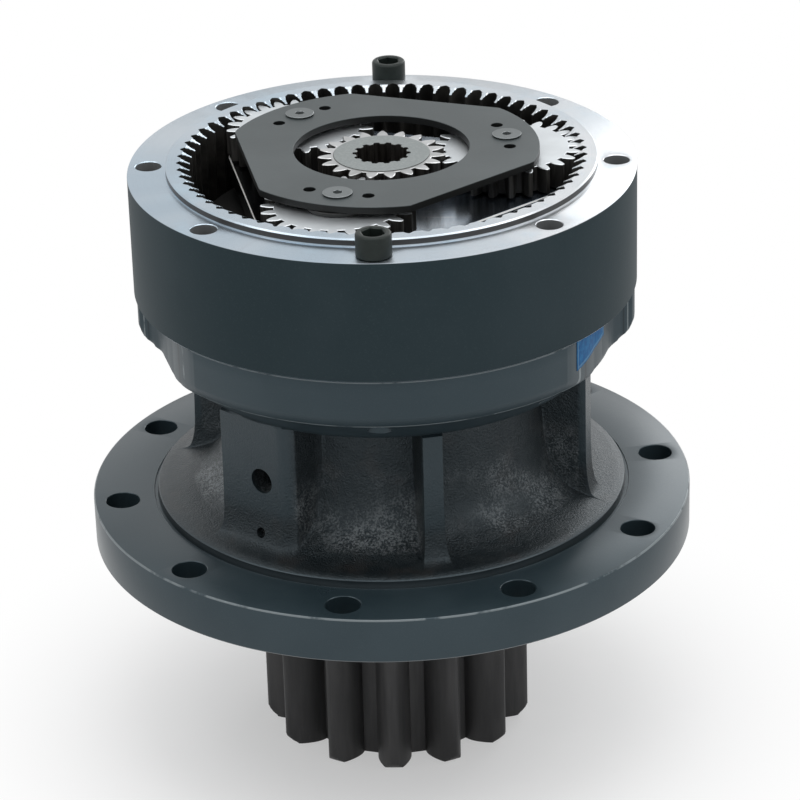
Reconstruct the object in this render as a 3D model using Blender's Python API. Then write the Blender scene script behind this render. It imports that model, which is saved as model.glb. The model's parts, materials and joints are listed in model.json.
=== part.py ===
# Two-stage planetary swing gearbox of an excavator, open at the top and standing on its pinion.
# Metres, +Z up along the common axis. The origin lies on the axis at the pinion's lower face.

import math

import bmesh
import bpy
from mathutils import Matrix

for old_object in list(bpy.data.objects):
    bpy.data.objects.remove(old_object, do_unlink=True)

# Fits between pieces that touch or run in each other
seat_gap = 0.0003
tooth_thinning = 0.0004
planet_clearance = 0.0012

# Gear train: module, teeth and face widths
pressure_angle = math.radians(20)
gear_module = 0.004
ring_teeth = 68
planet_count = 3
sun_1_teeth = 19
planet_1_teeth = 24
sun_1_shift = 0.54
sun_1_tip_relief = 0.0002
planet_1_width = 0.018
sun_2_teeth = 22
planet_2_teeth = 23
planet_2_width = 0.0323
pinion_module = 0.012
pinion_teeth = 13
pinion_shift = 0.5
pinion_width = 0.126
pinion_chamfer = 0.006
pinion_chamfer_depth = 0.0048
tooth_addendum = 1.0
tooth_dedendum = 1.25
flank_knee_share = 0.58
spline_root_share = 0.30
spline_tip_share = 0.20

# Heights of the casing, counted up from the pinion's lower face
pinion_reach = 0.156
flange_thickness = 0.0324
cast_step = 0.005
casing_height = 0.188
band_height = 0.027
band_inset = 0.001
band_taper = 0.0035
band_taper_height = 0.007
collar_drop = 0.019
pilot_height = 0.016

# Ring gear above the casing
ring_height = 0.085
spigot_height = 0.0058
spigot_land = 0.0075
spigot_chamfer = 0.001
tooth_lead_depth = 0.0035
tooth_lead_reach = 0.0058
bolt_inset = 0.0125
bolt_margin = 0.014
ring_bolt_count = 8
ring_bolt_hole = 0.009
ring_edge_chamfer = 0.0008

# Mounting flange of the casing
flange_bolt_circle = 0.1925
flange_bolt_count = 10
flange_bolt_hole = 0.012
flange_margin = 0.0203
flange_first_bolt = math.radians(10)
base_margin = 0.0142
flange_chamfer = 0.0015
pilot_radius = 0.150

# Bearings of the drive shaft
lower_bearing_bore = 0.060
lower_bearing_radius = 0.100
lower_bearing_width = 0.062
lower_bearing_set_in = 0.016
upper_bearing_bore = 0.050
upper_bearing_radius = 0.090
upper_bearing_width = 0.046
bearing_drop = 0.0035
race_share = 0.2625
bearing_shoulder = 0.008
cage_inset = 0.004
lower_roller_count = 10
upper_roller_count = 10
cage_share = 0.45
cage_gap_share = 0.30
roller_share = 0.14

# Waist of the casing: wall, ribs and port pad
waist_wall = 0.0125
upper_wall = 0.015
waist_stations = (0.03, 0.09, 0.26, 0.75)
foot_height = 0.007
cone_flare = 0.014
cone_height = 0.035
collar_fillet = 0.018
collar_bulge = 0.0045
collar_bulge_drop = 0.0081
collar_rim_drop = 0.0018
rib_count = 6
rib_first = math.radians(283.6)
rib_thickness = 0.014
rib_inset = 0.028
rib_foot = 0.008
rib_root = 0.003
rib_foot_spread = 0.0056
rib_corner = 0.0024
rib_flare = ((0.05, 0.7, 0.35), (0.16, 0.25, 0.0), (0.36, 0.0, 0.0))
pad_angle = math.radians(232.7)
pad_distance = 0.143
pad_left = 0.032
pad_right = 0.020
pad_bevel = 0.0085
pad_bevel_depth = 0.005
port_radius = 0.009
port_offset = 0.004
port_rise = 0.088
port_depth = 0.030
drain_radius = 0.0035
drain_rise = 0.049
drain_depth = 0.012

# Side pockets of the casing's upper band, with a bolt lug in the middle of each
pocket_edge = math.radians(43.5)
pocket_flat_end = math.radians(27)
lug_foot = math.radians(12)
lug_side = math.radians(8.5)
lug_top = math.radians(5)
pocket_depth = 0.0155
pocket_flat_rise = 0.0025
lug_side_rise = 0.0065
pocket_far_steps = 8
lug_reach = 0.012
cutter_margin = 0.002
carrier_pocket_depth = 0.0245

# Stage 2: carrier keyed to the drive shaft
carrier_2_thickness = 0.022
carrier_2_drop = 0.0008
boss_2_height = 0.002
plate_2_thickness = 0.0057
plate_2_play = 0.0005
plate_2_gap = 0.002
carrier_2_gap = 0.003
planet_2_pin = 0.017
bush_2_wall = 0.0037
boss_2_radius = 0.026
shaft_spline_teeth = 10
shaft_spline_radius = 0.042
spline_depth = 0.0025
screw_2_radius = 0.006
screw_2_length = 0.032
screw_2_sink = 0.0002
thread_runout = 0.002
screw_socket_share = 0.69
screw_socket_depth_share = 0.7

# Stage 1: carrier keyed to the second sun
stage_gap = 0.014
carrier_1_thickness = 0.015
boss_1_height = 0.0012
washer_thickness = 0.0026
washer_radius = 0.0223
plate_1_thickness = 0.005
plate_1_radius = 0.1085
plate_1_flat = 0.0933
plate_1_bore = 0.0605
plate_1_chamfer = 0.0005
carrier_1_radius = 0.126
carrier_1_flat = 0.0955
carrier_1_chamfer = 0.0008
planet_1_pin = 0.013
bush_1_wall = 0.0037
boss_1_radius = 0.0195
planet_1_angle = math.radians(12.5)
screw_1_radius = 0.005
screw_1_length = 0.0204
screw_1_head = 0.010
screw_1_rim = 0.0008
screw_1_stand = 0.0007
jack_hole_radius = 0.0042
jack_hole_angle = math.radians(13.7)
post_2_reach = 0.104
post_width_share = 0.42
post_steps = 4
plate_arc_steps = 6
sun_post_gap = 0.003
sun_2_spline_radius = 0.028
sun_2_spline_teeth = 8
sun_2_spline_depth = 0.003
sun_2_collar = 0.036

# First sun with the bore that takes the motor shaft
sun_1_play = 0.0004
sun_1_rise = 0.0005
sun_1_hub_radius = 0.033
sun_1_hub_height = 0.0034
sun_1_hub_chamfer = 0.0008
motor_spline_teeth = 14
motor_spline_radius = 0.020
motor_spline_depth = 0.0025

# Transport screws between ring and casing, and dowels
ring_screw_radius = 0.008
ring_screw_head = 0.012
ring_screw_head_height = 0.016
ring_screw_grip = 0.025
ring_screw_socket = 0.0081
ring_screw_socket_depth = 0.009
ring_screw_chamfer = 0.0012
dowel_radius = 0.006
dowel_half_length = 0.012
dowel_angle = math.radians(67.5)

# Seal and retaining rings of the shaft
circlip_thickness = 0.0037
circlip_depth = 0.0032
circlip_width = 0.010
circlip_gap_angle = math.radians(14)
seal_height = 0.0146
seal_lip_depth = 0.008
seal_wall = 0.006
spacer_wall = 0.008
shaft_step = 0.004
shaft_end_land = 0.003
shaft_end_drop = 0.0021
step_relief = 0.001
shaft_ring_width = 0.0085
shaft_ring_thickness = 0.0034
shaft_ring_depth = 0.0032
journal_gap = 0.0005
centre_hole_radius = 0.008
centre_hole_depth = 0.014

# Angle of the ring gear's first tooth space, and of the pinion's first tooth
ring_space_angle = math.radians(3.8)
pinion_tooth_angle = math.radians(269.6)

# Facets of round shapes, by size
rim_facets = 36
bore_facets = 20
mid_facets = 20
clip_facets = 14
small_facets = 12
tiny_facets = 8
sharp_angle = math.radians(32)
axis_size = 0.05

# Heights that follow from the sizes above
flange_top = pinion_reach + flange_thickness
casing_top = pinion_reach + casing_height - seat_gap
band_bottom = pinion_reach + casing_height - band_height
ring_bottom = pinion_reach + casing_height
ring_face = ring_bottom + ring_height
base_top = flange_top + cast_step
collar_bottom = band_bottom - band_taper_height - collar_drop
waist_height = collar_bottom - base_top
ring_top = ring_face + spigot_height
casing_floor = ring_bottom - carrier_pocket_depth
upper_bearing_top = casing_floor - bearing_drop
upper_bearing_bottom = upper_bearing_top - upper_bearing_width
lower_bearing_bottom = pinion_reach + lower_bearing_set_in
lower_bearing_top = lower_bearing_bottom + lower_bearing_width
carrier_2_top = ring_bottom - carrier_2_drop
carrier_2_bottom = carrier_2_top - carrier_2_thickness
planet_2_bottom = carrier_2_top + boss_2_height + seat_gap
planet_2_top = planet_2_bottom + planet_2_width
plate_2_bottom = planet_2_top + plate_2_play
plate_2_top = plate_2_bottom + plate_2_thickness
carrier_1_bottom = plate_2_top + stage_gap
carrier_1_top = carrier_1_bottom + carrier_1_thickness
planet_1_bottom = carrier_1_top + boss_1_height + seat_gap
planet_1_top = planet_1_bottom + planet_1_width
pin_1_top = planet_1_top + seat_gap + washer_thickness
plate_1_bottom = pin_1_top + seat_gap
plate_1_top = plate_1_bottom + plate_1_thickness
post_2_top = plate_2_bottom - seat_gap
shaft_end = carrier_2_top - shaft_end_drop
shaft_ring_top = shaft_end - shaft_end_land
shaft_ring_bottom = shaft_ring_top - shaft_ring_thickness - 2 * seat_gap
keyed_floor = shaft_ring_bottom

# Radii that follow from the gear train
ring_root_radius = gear_module * (ring_teeth / 2 + tooth_dedendum)
ring_tip_radius = gear_module * (ring_teeth / 2 - tooth_addendum)
spigot_radius = ring_root_radius + spigot_land
ring_bolt_circle = spigot_radius + bolt_inset
ring_radius = ring_bolt_circle + bolt_margin
band_radius = ring_radius - band_inset
carrier_bore = ring_tip_radius - band_inset
pocket_radius = band_radius - pocket_depth
flange_radius = flange_bolt_circle + flange_margin
base_radius = flange_bolt_circle - flange_bolt_hole - base_margin
waist_radius = max(lower_bearing_radius + waist_wall, upper_bearing_radius + upper_wall)
rib_radius = band_radius - rib_inset
planet_1_distance = gear_module * (ring_teeth - planet_1_teeth) / 2
planet_2_distance = gear_module * (ring_teeth - planet_2_teeth) / 2
planet_2_tip = gear_module * (planet_2_teeth / 2 + tooth_addendum)
sun_2_tip = gear_module * (sun_2_teeth / 2 + tooth_addendum)
pinion_root = pinion_module * (pinion_teeth / 2 - tooth_dedendum + pinion_shift)
pinion_tip = pinion_module * (pinion_teeth / 2 + tooth_addendum + pinion_shift)
seal_journal = pinion_root - journal_gap
shaft_waist = lower_bearing_bore - shaft_step
plate_2_radius = ring_tip_radius - plate_2_gap
plate_2_bore = sun_2_tip + plate_2_gap
carrier_2_radius = carrier_bore - carrier_2_gap
keyed_recess = plate_2_bore


def polar(radius, angle, centre=(0.0, 0.0)):
    return centre[0] + radius * math.cos(angle), centre[1] + radius * math.sin(angle)


def circle(radius, facets, centre=(0.0, 0.0), turn=0.0):
    return [polar(radius, turn + 2 * math.pi * step / facets, centre) for step in range(facets)]


# Radius that keeps the flats of a faceted hole outside the given circle
def clear(radius, facets):
    return radius / math.cos(math.pi / facets)


def hexagon(radius, centre=(0.0, 0.0)):
    return circle(radius, 6, centre)


def involute(angle):
    return math.tan(angle) - angle


# Outline of a gear with involute flanks, one tooth centred on turn. Each flank passes through
# the given radii, from root to tip. A negative thinning widens the teeth, which gives
# the tooth spaces of an internal gear.
def gear_outline(teeth, module, shift, thinning, radii, turn=0.0):
    pitch_radius = module * teeth / 2
    base_circle = pitch_radius * math.cos(pressure_angle)
    pitch_half = math.pi / (2 * teeth) + 2 * shift * math.tan(pressure_angle) / teeth
    pitch_half -= thinning / (2 * pitch_radius)

    def half_angle(radius):
        flank_angle = math.acos(min(1.0, base_circle / radius))
        return pitch_half + involute(pressure_angle) - involute(flank_angle)

    points = []
    for tooth in range(teeth):
        centre = turn + 2 * math.pi * tooth / teeth
        points += [polar(radius, centre - half_angle(radius)) for radius in radii]
        points += [polar(radius, centre + half_angle(radius)) for radius in reversed(radii)]
    return points


# Straight-sided spline teeth between a root and a tip circle; slack makes the matching bore
def spline_outline(teeth, tip_radius, depth, slack=0.0):
    step = 2 * math.pi / teeth
    root = spline_root_share * step + slack / tip_radius
    tip = spline_tip_share * step + slack / tip_radius
    points = []
    for tooth in range(teeth):
        centre = tooth * step
        points.append(polar(tip_radius + slack - depth, centre - root))
        points.append(polar(tip_radius + slack, centre - tip))
        points.append(polar(tip_radius + slack, centre + tip))
        points.append(polar(tip_radius + slack - depth, centre + root))
    return points


# A closed solid from walls and flat levels. A wall is a list of (outline, height) layers that
# are bridged in turn; every open edge at a level's height is then filled, holes left open.
def solid(walls, levels):
    mesh = bmesh.new()
    for layers in walls:
        loops = []
        for outline, height in layers:
            loops.append([mesh.verts.new((x, y, height)) for x, y in outline])
        for lower, upper in zip(loops, loops[1:]):
            for here in range(len(lower)):
                there = here - 1
                mesh.faces.new((lower[there], lower[here], upper[here], upper[there]))
    bmesh.ops.remove_doubles(mesh, verts=mesh.verts, dist=1e-6)
    for height in levels:
        rim = [edge for edge in mesh.edges if len(edge.link_faces) == 1
               and all(abs(vert.co.z - height) < 1e-6 for vert in edge.verts)]
        bmesh.ops.triangle_fill(mesh, use_beauty=True, use_dissolve=False, edges=rim)
    bmesh.ops.recalc_face_normals(mesh, faces=mesh.faces)
    return mesh


# A ring turned about Z from a closed outline of (radius, height) points
def turned(profile, facets):
    mesh = bmesh.new()
    verts = [mesh.verts.new((radius, 0.0, height)) for radius, height in profile]
    edges = [mesh.edges.new(pair) for pair in zip(verts, verts[1:] + verts[:1])]
    bmesh.ops.spin(mesh, geom=verts + edges, axis=(0, 0, 1), cent=(0, 0, 0),
                   angle=2 * math.pi, steps=facets)
    bmesh.ops.remove_doubles(mesh, verts=mesh.verts, dist=1e-6)
    bmesh.ops.recalc_face_normals(mesh, faces=mesh.faces)
    return mesh


def tube(inner, outer, bottom, top, facets):
    return turned([(inner, bottom), (outer, bottom), (outer, top), (inner, top)], facets)


def surface(name, colour, roughness, metallic):
    material = bpy.data.materials.new(name)
    material.use_nodes = True
    shader = material.node_tree.nodes["Principled BSDF"]
    shader.inputs["Base Color"].default_value = (*colour, 1.0)
    shader.inputs["Roughness"].default_value = roughness
    shader.inputs["Metallic"].default_value = metallic
    material.diffuse_color = (*colour, 1.0)
    return material


painted_iron = surface("painted cast iron", (0.042, 0.055, 0.062), 0.55, 0.2)
machined_ring = surface("machined ring steel", (0.30, 0.33, 0.35), 0.35, 0.8)
phosphated = surface("phosphated steel", (0.105, 0.118, 0.122), 0.5, 0.6)
ground_steel = surface("ground gear steel", (0.55, 0.57, 0.58), 0.3, 1.0)
matt_steel = surface("matt gear steel", (0.34, 0.36, 0.36), 0.45, 0.9)
carrier_steel = surface("carrier steel", (0.24, 0.29, 0.34), 0.32, 0.9)
black_steel = surface("black pinion steel", (0.022, 0.023, 0.025), 0.42, 0.7)
black_oxide = surface("black oxide screws", (0.045, 0.050, 0.052), 0.4, 0.7)
bearing_steel = surface("bearing steel", (0.50, 0.51, 0.52), 0.2, 1.0)
bronze = surface("bush bronze", (0.45, 0.28, 0.12), 0.35, 1.0)
rubber = surface("seal rubber", (0.02, 0.02, 0.02), 0.7, 0.0)


def axis_empty(name, parent=None, location=(0.0, 0.0, 0.0)):
    empty = bpy.data.objects.new(name, None)
    empty.empty_display_size = axis_size
    empty.location = location
    empty.parent = parent
    bpy.context.scene.collection.objects.link(empty)
    return empty


def finish_mesh(name, mesh, material):
    data = bpy.data.meshes.new(name)
    mesh.to_mesh(data)
    mesh.free()
    data.materials.append(material)
    data.shade_smooth()
    data.set_sharp_from_angle(angle=sharp_angle)
    return data


def place(name, data, parent=None, location=(0.0, 0.0, 0.0), turn=0.0):
    piece = bpy.data.objects.new(name, data)
    piece.location = location
    piece.rotation_euler = (0.0, 0.0, turn)
    piece.parent = parent
    bpy.context.scene.collection.objects.link(piece)
    return piece


def boolean(target, tool, operation):
    tool.hide_render = True
    tool.display_type = "WIRE"
    modifier = target.modifiers.new(tool.name, "BOOLEAN")
    modifier.operation = operation
    modifier.solver = "EXACT"
    modifier.object = tool


# Several closed meshes joined as one tool
def gathered(meshes):
    whole = bmesh.new()
    for mesh in meshes:
        data = bpy.data.meshes.new("part of tool")
        mesh.to_mesh(data)
        mesh.free()
        whole.from_mesh(data)
        bpy.data.meshes.remove(data)
    return whole


def turned_to(mesh, angle):
    bmesh.ops.rotate(mesh, verts=mesh.verts, cent=(0, 0, 0), matrix=Matrix.Rotation(angle, 3, "Z"))
    return mesh


def drill(radius, bottom, top, facets, centre=(0.0, 0.0)):
    ring = circle(radius, facets, centre)
    return solid([[(ring, bottom), (ring, top)]], [bottom, top])


# A drill whose axis is horizontal along +X, from near to far, at the given offset and height
def side_drill(radius, near, far, offset, height, facets):
    mesh = drill(radius, near, far, facets)
    bmesh.ops.rotate(mesh, verts=mesh.verts, cent=(0, 0, 0), matrix=Matrix.Rotation(math.pi / 2, 3, "Y"))
    bmesh.ops.translate(mesh, verts=mesh.verts, vec=(0, offset, height))
    return mesh


def ring_bolts():
    step = 2 * math.pi / ring_bolt_count
    return [polar(ring_bolt_circle, step * index) for index in range(ring_bolt_count)]


def dowel_places():
    return [polar(ring_bolt_circle, dowel_angle + side * math.pi) for side in (0, 1)]


def planet_angles():
    return [planet_1_angle + 2 * math.pi * index / planet_count for index in range(planet_count)]


# The wall of the waist flares out to the as-cast disc on the flange
def waist_wall_radius(height):
    foot_flare = base_radius - waist_radius - cone_flare
    foot = foot_flare * math.exp(-height / foot_height)
    return waist_radius + foot + cone_flare * math.exp(-height / cone_height)


# Turned body of the casting with its bores
def casing_body():
    lower_seat = lower_bearing_radius + seat_gap
    upper_seat = upper_bearing_radius + seat_gap
    web_bore = upper_bearing_radius - bearing_shoulder
    pilot_bottom = pinion_reach - pilot_height
    groove_radius = clear(lower_seat + circlip_depth, bore_facets)
    groove_top = lower_bearing_bottom
    groove_bottom = groove_top - circlip_thickness - 2 * seat_gap
    bores = [
        (lower_seat, pilot_bottom), (lower_seat, groove_bottom),
        (groove_radius, groove_bottom), (groove_radius, groove_top),
        (lower_seat, groove_top), (lower_seat, lower_bearing_top + seat_gap),
        (web_bore, lower_bearing_top + seat_gap), (web_bore, upper_bearing_bottom - seat_gap),
        (upper_seat, upper_bearing_bottom - seat_gap), (upper_seat, casing_floor),
    ]
    pocket = [(carrier_bore, casing_floor), (carrier_bore, casing_top)]
    outside = [
        (pilot_radius, pilot_bottom), (pilot_radius, pinion_reach), (flange_radius, pinion_reach),
        (flange_radius, flange_top - flange_chamfer), (flange_radius - flange_chamfer, flange_top),
        (base_radius, flange_top), (base_radius, base_top),
    ]
    outside += [(waist_wall_radius(share * waist_height), base_top + share * waist_height)
                for share in waist_stations]
    outside += [
        (waist_radius + collar_bulge, collar_bottom - collar_bulge_drop),
        (waist_radius + collar_fillet, collar_bottom - collar_rim_drop), (rib_radius, collar_bottom),
        (band_radius - band_taper, band_bottom - band_taper_height), (band_radius, band_bottom),
        (band_radius, casing_top),
    ]
    walls = [[(circle(radius, facets), height) for radius, height in profile]
             for profile, facets in ((outside, rim_facets), (pocket, rim_facets), (bores, bore_facets))]
    return solid(walls, [pilot_bottom, casing_floor, casing_top])


# One rib lofted upwards: it flares at its foot and its outer corners are chamfered. Each entry
# of rib_flare is a share of the waist's height with the shares of the foot in reach and width.
def rib(angle):
    inner = waist_radius - rib_root
    stations = [(base_top - rib_root, rib_radius + rib_foot, rib_thickness + rib_foot_spread)]
    stations += [(base_top + rise * waist_height, rib_radius + reach * rib_foot,
                  rib_thickness + width * rib_foot) for rise, reach, width in rib_flare]
    stations.append((collar_bottom + rib_root, rib_radius, rib_thickness))
    layers = []
    for height, reach, width in stations:
        half = width / 2
        outline = [(inner, -half), (reach - rib_corner, -half), (reach, -half + rib_corner),
                   (reach, half - rib_corner), (reach - rib_corner, half), (inner, half)]
        layers.append((outline, height))
    return turned_to(solid([layers], [stations[0][0], stations[-1][0]]), angle)


# Flat pad for the grease port, bevelled on its right side
def port_pad():
    inner = waist_radius - rib_root
    bottom = base_top - rib_root
    top = collar_bottom + rib_root
    outline = [(inner, -pad_left), (pad_distance, -pad_left), (pad_distance, pad_right),
               (pad_distance - pad_bevel_depth, pad_right + pad_bevel), (inner, pad_right + pad_bevel)]
    return turned_to(solid([[(outline, bottom), (outline, top)]], [bottom, top]), pad_angle)


# What is cut away beside the bolt lug: a flat runs in from the band, then a round stretch
def side_pocket(angle):
    side = [(pocket_edge, band_radius), (pocket_flat_end, pocket_radius + pocket_flat_rise),
            ((pocket_flat_end + lug_foot) / 2, pocket_radius), (lug_foot, pocket_radius),
            (lug_side, pocket_radius + lug_side_rise), (lug_top, band_radius + seat_gap)]
    beyond = band_radius + lug_reach
    near = [polar(radius, -turn) for turn, radius in side]
    near += [polar(radius, turn) for turn, radius in reversed(side)]
    far = [polar(beyond, pocket_edge * (1 - 2 * step / pocket_far_steps))
           for step in range(pocket_far_steps + 1)]
    low = collar_bottom + cutter_margin
    high = casing_top + cutter_margin
    return turned_to(solid([[(near + far, low), (near + far, high)]], [low, high]), angle)


def casing_holes():
    tools = [drill(flange_bolt_hole, pinion_reach - cutter_margin, flange_top + cutter_margin, small_facets,
                   polar(flange_bolt_circle, flange_first_bolt + 2 * math.pi * index / flange_bolt_count))
             for index in range(flange_bolt_count)]
    above = casing_top + cutter_margin
    tools += [drill(ring_screw_radius + seat_gap, collar_bottom, above, tiny_facets, centre)
              for centre in ring_bolts()]
    tools += [drill(dowel_radius + seat_gap, ring_bottom - dowel_half_length - seat_gap, above,
                    tiny_facets, centre) for centre in dowel_places()]
    outside = pad_distance + cutter_margin
    tools.append(turned_to(side_drill(port_radius, pad_distance - port_depth, outside, port_offset,
                                      pinion_reach + port_rise, small_facets), pad_angle))
    tools.append(turned_to(side_drill(drain_radius, pad_distance - drain_depth, outside, port_offset,
                                      pinion_reach + drain_rise, tiny_facets), pad_angle))
    return tools


def make_casing():
    casing = place("casing", finish_mesh("casing", casing_body(), painted_iron))
    ribs = [rib(rib_first + 2 * math.pi * index / rib_count) for index in range(rib_count)]
    rib_tool = place("rib tool", finish_mesh("rib tool", gathered(ribs), painted_iron))
    pad_tool = place("pad tool", finish_mesh("pad tool", port_pad(), painted_iron))
    cuts = casing_holes() + [side_pocket(0.0), side_pocket(math.pi)]
    cut_tool = place("cut tool", finish_mesh("cut tool", gathered(cuts), painted_iron))
    boolean(casing, rib_tool, "UNION")
    boolean(casing, pad_tool, "UNION")
    boolean(casing, cut_tool, "DIFFERENCE")


def ring_spaces(lead=False):
    inner = ring_tip_radius + tooth_lead_reach if lead else ring_tip_radius
    radii = [inner, ring_root_radius]
    return gear_outline(ring_teeth, gear_module, 0.0, -tooth_thinning, radii, ring_space_angle)


def make_ring_gear():
    rim = circle(ring_radius, rim_facets)
    rim_low = circle(ring_radius - ring_edge_chamfer, rim_facets)
    step = circle(spigot_radius, rim_facets)
    step_edge = circle(spigot_radius - spigot_chamfer, rim_facets)
    dowel_end = ring_bottom + dowel_half_length + seat_gap
    walls = [
        [(rim_low, ring_bottom), (rim, ring_bottom + ring_edge_chamfer), (rim, ring_face)],
        [(step, ring_face), (step, ring_top - spigot_chamfer), (step_edge, ring_top)],
        [(ring_spaces(), ring_bottom), (ring_spaces(), ring_top - tooth_lead_depth),
         (ring_spaces(True), ring_top)],
    ]
    for centre in ring_bolts():
        hole = circle(ring_bolt_hole, small_facets, centre)
        walls.append([(hole, ring_bottom), (hole, ring_face)])
    for centre in dowel_places():
        hole = circle(dowel_radius + seat_gap, tiny_facets, centre)
        walls.append([(hole, ring_bottom), (hole, dowel_end)])
    mesh = solid(walls, [ring_bottom, dowel_end, ring_face, ring_top])
    place("ring_gear", finish_mesh("ring_gear", mesh, machined_ring))


def make_ring_screws():
    under = ring_face + seat_gap
    top = under + ring_screw_head_height
    end = ring_bottom - ring_screw_grip
    shank = circle(ring_screw_radius, tiny_facets)
    head = circle(ring_screw_head, mid_facets)
    head_edge = circle(ring_screw_head - ring_screw_chamfer, mid_facets)
    socket = hexagon(ring_screw_socket)
    walls = [
        [(shank, end), (shank, under)],
        [(head, under), (head, top - ring_screw_chamfer), (head_edge, top)],
        [(socket, top - ring_screw_socket_depth), (socket, top)],
    ]
    mesh = solid(walls, [end, under, top - ring_screw_socket_depth, top])
    data = finish_mesh("ring screw", mesh, black_oxide)
    for name, side in (("ring_screw_front", -1), ("ring_screw_rear", 1)):
        place(name, data, location=(0.0, side * ring_bolt_circle, 0.0))


def make_dowels():
    pin = circle(dowel_radius, tiny_facets)
    low = ring_bottom - dowel_half_length
    high = ring_bottom + dowel_half_length
    data = finish_mesh("dowel", solid([[(pin, low), (pin, high)]], [low, high]), bearing_steel)
    for name, centre in zip(("dowel_rear", "dowel_front"), dowel_places()):
        place(name, data, location=(*centre, 0.0))


# Rollers and cage of a bearing as one ring: the rollers stand proud of the cage on both sides
def roller_ring(inner, outer, bottom, top, count):
    pitch = (inner + outer) / 2
    proud = (outer - inner) / 2 - seat_gap
    cage = proud * cage_share
    step = 2 * math.pi / count

    def outline(sign):
        points = []
        for index in range(count):
            centre = index * step
            points.append(polar(pitch + sign * cage, centre - cage_gap_share * step))
            points.append(polar(pitch + sign * proud, centre - roller_share * step))
            points.append(polar(pitch + sign * proud, centre + roller_share * step))
            points.append(polar(pitch + sign * cage, centre + cage_gap_share * step))
        return points

    walls = [[(outline(sign), bottom), (outline(sign), top)] for sign in (-1, 1)]
    return solid(walls, [bottom, top])


def make_bearing(name, bore, radius, bottom, top, count, shaft_axis, cage_axis):
    race = (radius - bore) * race_share
    inner_race = tube(bore, bore + race, bottom, top, bore_facets)
    outer_race = tube(clear(radius - race, bore_facets), radius, bottom, top, bore_facets)
    rollers = roller_ring(bore + race, radius - race, bottom + cage_inset, top - cage_inset, count)
    place(name + "_bearing_outer", finish_mesh(name + " outer race", outer_race, bearing_steel))
    place(name + "_bearing_inner", finish_mesh(name + " inner race", inner_race, bearing_steel), shaft_axis)
    place(name + "_bearing_rollers", finish_mesh(name + " rollers", rollers, bearing_steel), cage_axis)


# Flat ring with a gap, for a groove
def split_ring(inner, outer, bottom, top, facets):
    sweep = 2 * math.pi - circlip_gap_angle
    start = circlip_gap_angle / 2
    turns = [start + sweep * step / facets for step in range(facets + 1)]
    outline = [polar(outer, turn) for turn in turns] + [polar(inner, turn) for turn in reversed(turns)]
    return solid([[(outline, bottom), (outline, top)]], [bottom, top])


def make_shaft_seal():
    clip_top = lower_bearing_bottom - seat_gap
    clip_bottom = clip_top - circlip_thickness
    reach = lower_bearing_radius + circlip_depth - seat_gap
    clip = split_ring(reach - circlip_width, reach, clip_bottom, clip_top, clip_facets)
    place("bearing_circlip", finish_mesh("bearing_circlip", clip, bearing_steel))
    top = clip_bottom - seat_gap
    bottom = top - seal_height
    lip = clear(seal_journal + seat_gap, bore_facets)
    groove_floor = bottom + seal_lip_depth
    profile = [(lip, bottom), (lip + seal_wall, groove_floor),
               (lower_bearing_radius - seal_wall, groove_floor), (lower_bearing_radius, bottom),
               (lower_bearing_radius, top), (lip, top)]
    place("oil_seal", finish_mesh("oil_seal", turned(profile, bore_facets), rubber))


# Drive shaft with its pinion, journals, spline and groove in one piece
def make_drive_shaft(parent):
    knee = (pinion_root + pinion_tip) / 2

    def pinion(tip):
        radii = [pinion_root, knee, tip]
        return gear_outline(pinion_teeth, pinion_module, pinion_shift, 0.0, radii, pinion_tooth_angle)

    low = pinion(pinion_tip - pinion_chamfer_depth)
    full = pinion(pinion_tip)
    lower_journal = lower_bearing_bore - seat_gap
    upper_journal = upper_bearing_bore - seat_gap
    spline = spline_outline(shaft_spline_teeth, shaft_spline_radius, spline_depth)
    groove = circle(shaft_spline_radius - shaft_ring_depth, mid_facets)
    journal_end = upper_bearing_top - step_relief
    steps = [(seal_journal, pinion_width), (seal_journal, lower_bearing_bottom - seat_gap),
             (lower_journal, lower_bearing_bottom - seat_gap),
             (lower_journal, lower_bearing_top - step_relief),
             (shaft_waist, lower_bearing_top - step_relief), (shaft_waist, upper_bearing_bottom - seat_gap),
             (upper_journal, upper_bearing_bottom - seat_gap), (upper_journal, journal_end)]
    centre_hole = circle(centre_hole_radius, tiny_facets)
    walls = [
        [(low, 0.0), (full, pinion_chamfer), (full, pinion_width - pinion_chamfer), (low, pinion_width)],
        [(circle(radius, bore_facets), height) for radius, height in steps],
        [(spline, journal_end), (spline, shaft_ring_bottom)],
        [(groove, shaft_ring_bottom), (groove, shaft_ring_top)],
        [(spline, shaft_ring_top), (spline, shaft_end)],
        [(centre_hole, 0.0), (centre_hole, centre_hole_depth)],
    ]
    levels = [0.0, centre_hole_depth, pinion_width, journal_end, shaft_ring_bottom, shaft_ring_top,
              shaft_end]
    place("drive_shaft", finish_mesh("drive_shaft", solid(walls, levels), black_steel), parent)


def make_shaft_rings(parent):
    spacer = tube(shaft_waist + seat_gap, shaft_waist + spacer_wall, lower_bearing_top + seat_gap,
                  upper_bearing_bottom - seat_gap, bore_facets)
    place("bearing_spacer", finish_mesh("bearing_spacer", spacer, phosphated), parent)
    inner = clear(shaft_spline_radius - shaft_ring_depth + seat_gap, clip_facets)
    ring = split_ring(inner, inner + shaft_ring_width, shaft_ring_bottom + seat_gap,
                      shaft_ring_bottom + seat_gap + shaft_ring_thickness, clip_facets)
    place("shaft_circlip", finish_mesh("shaft_circlip", ring, bearing_steel), parent)


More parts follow.
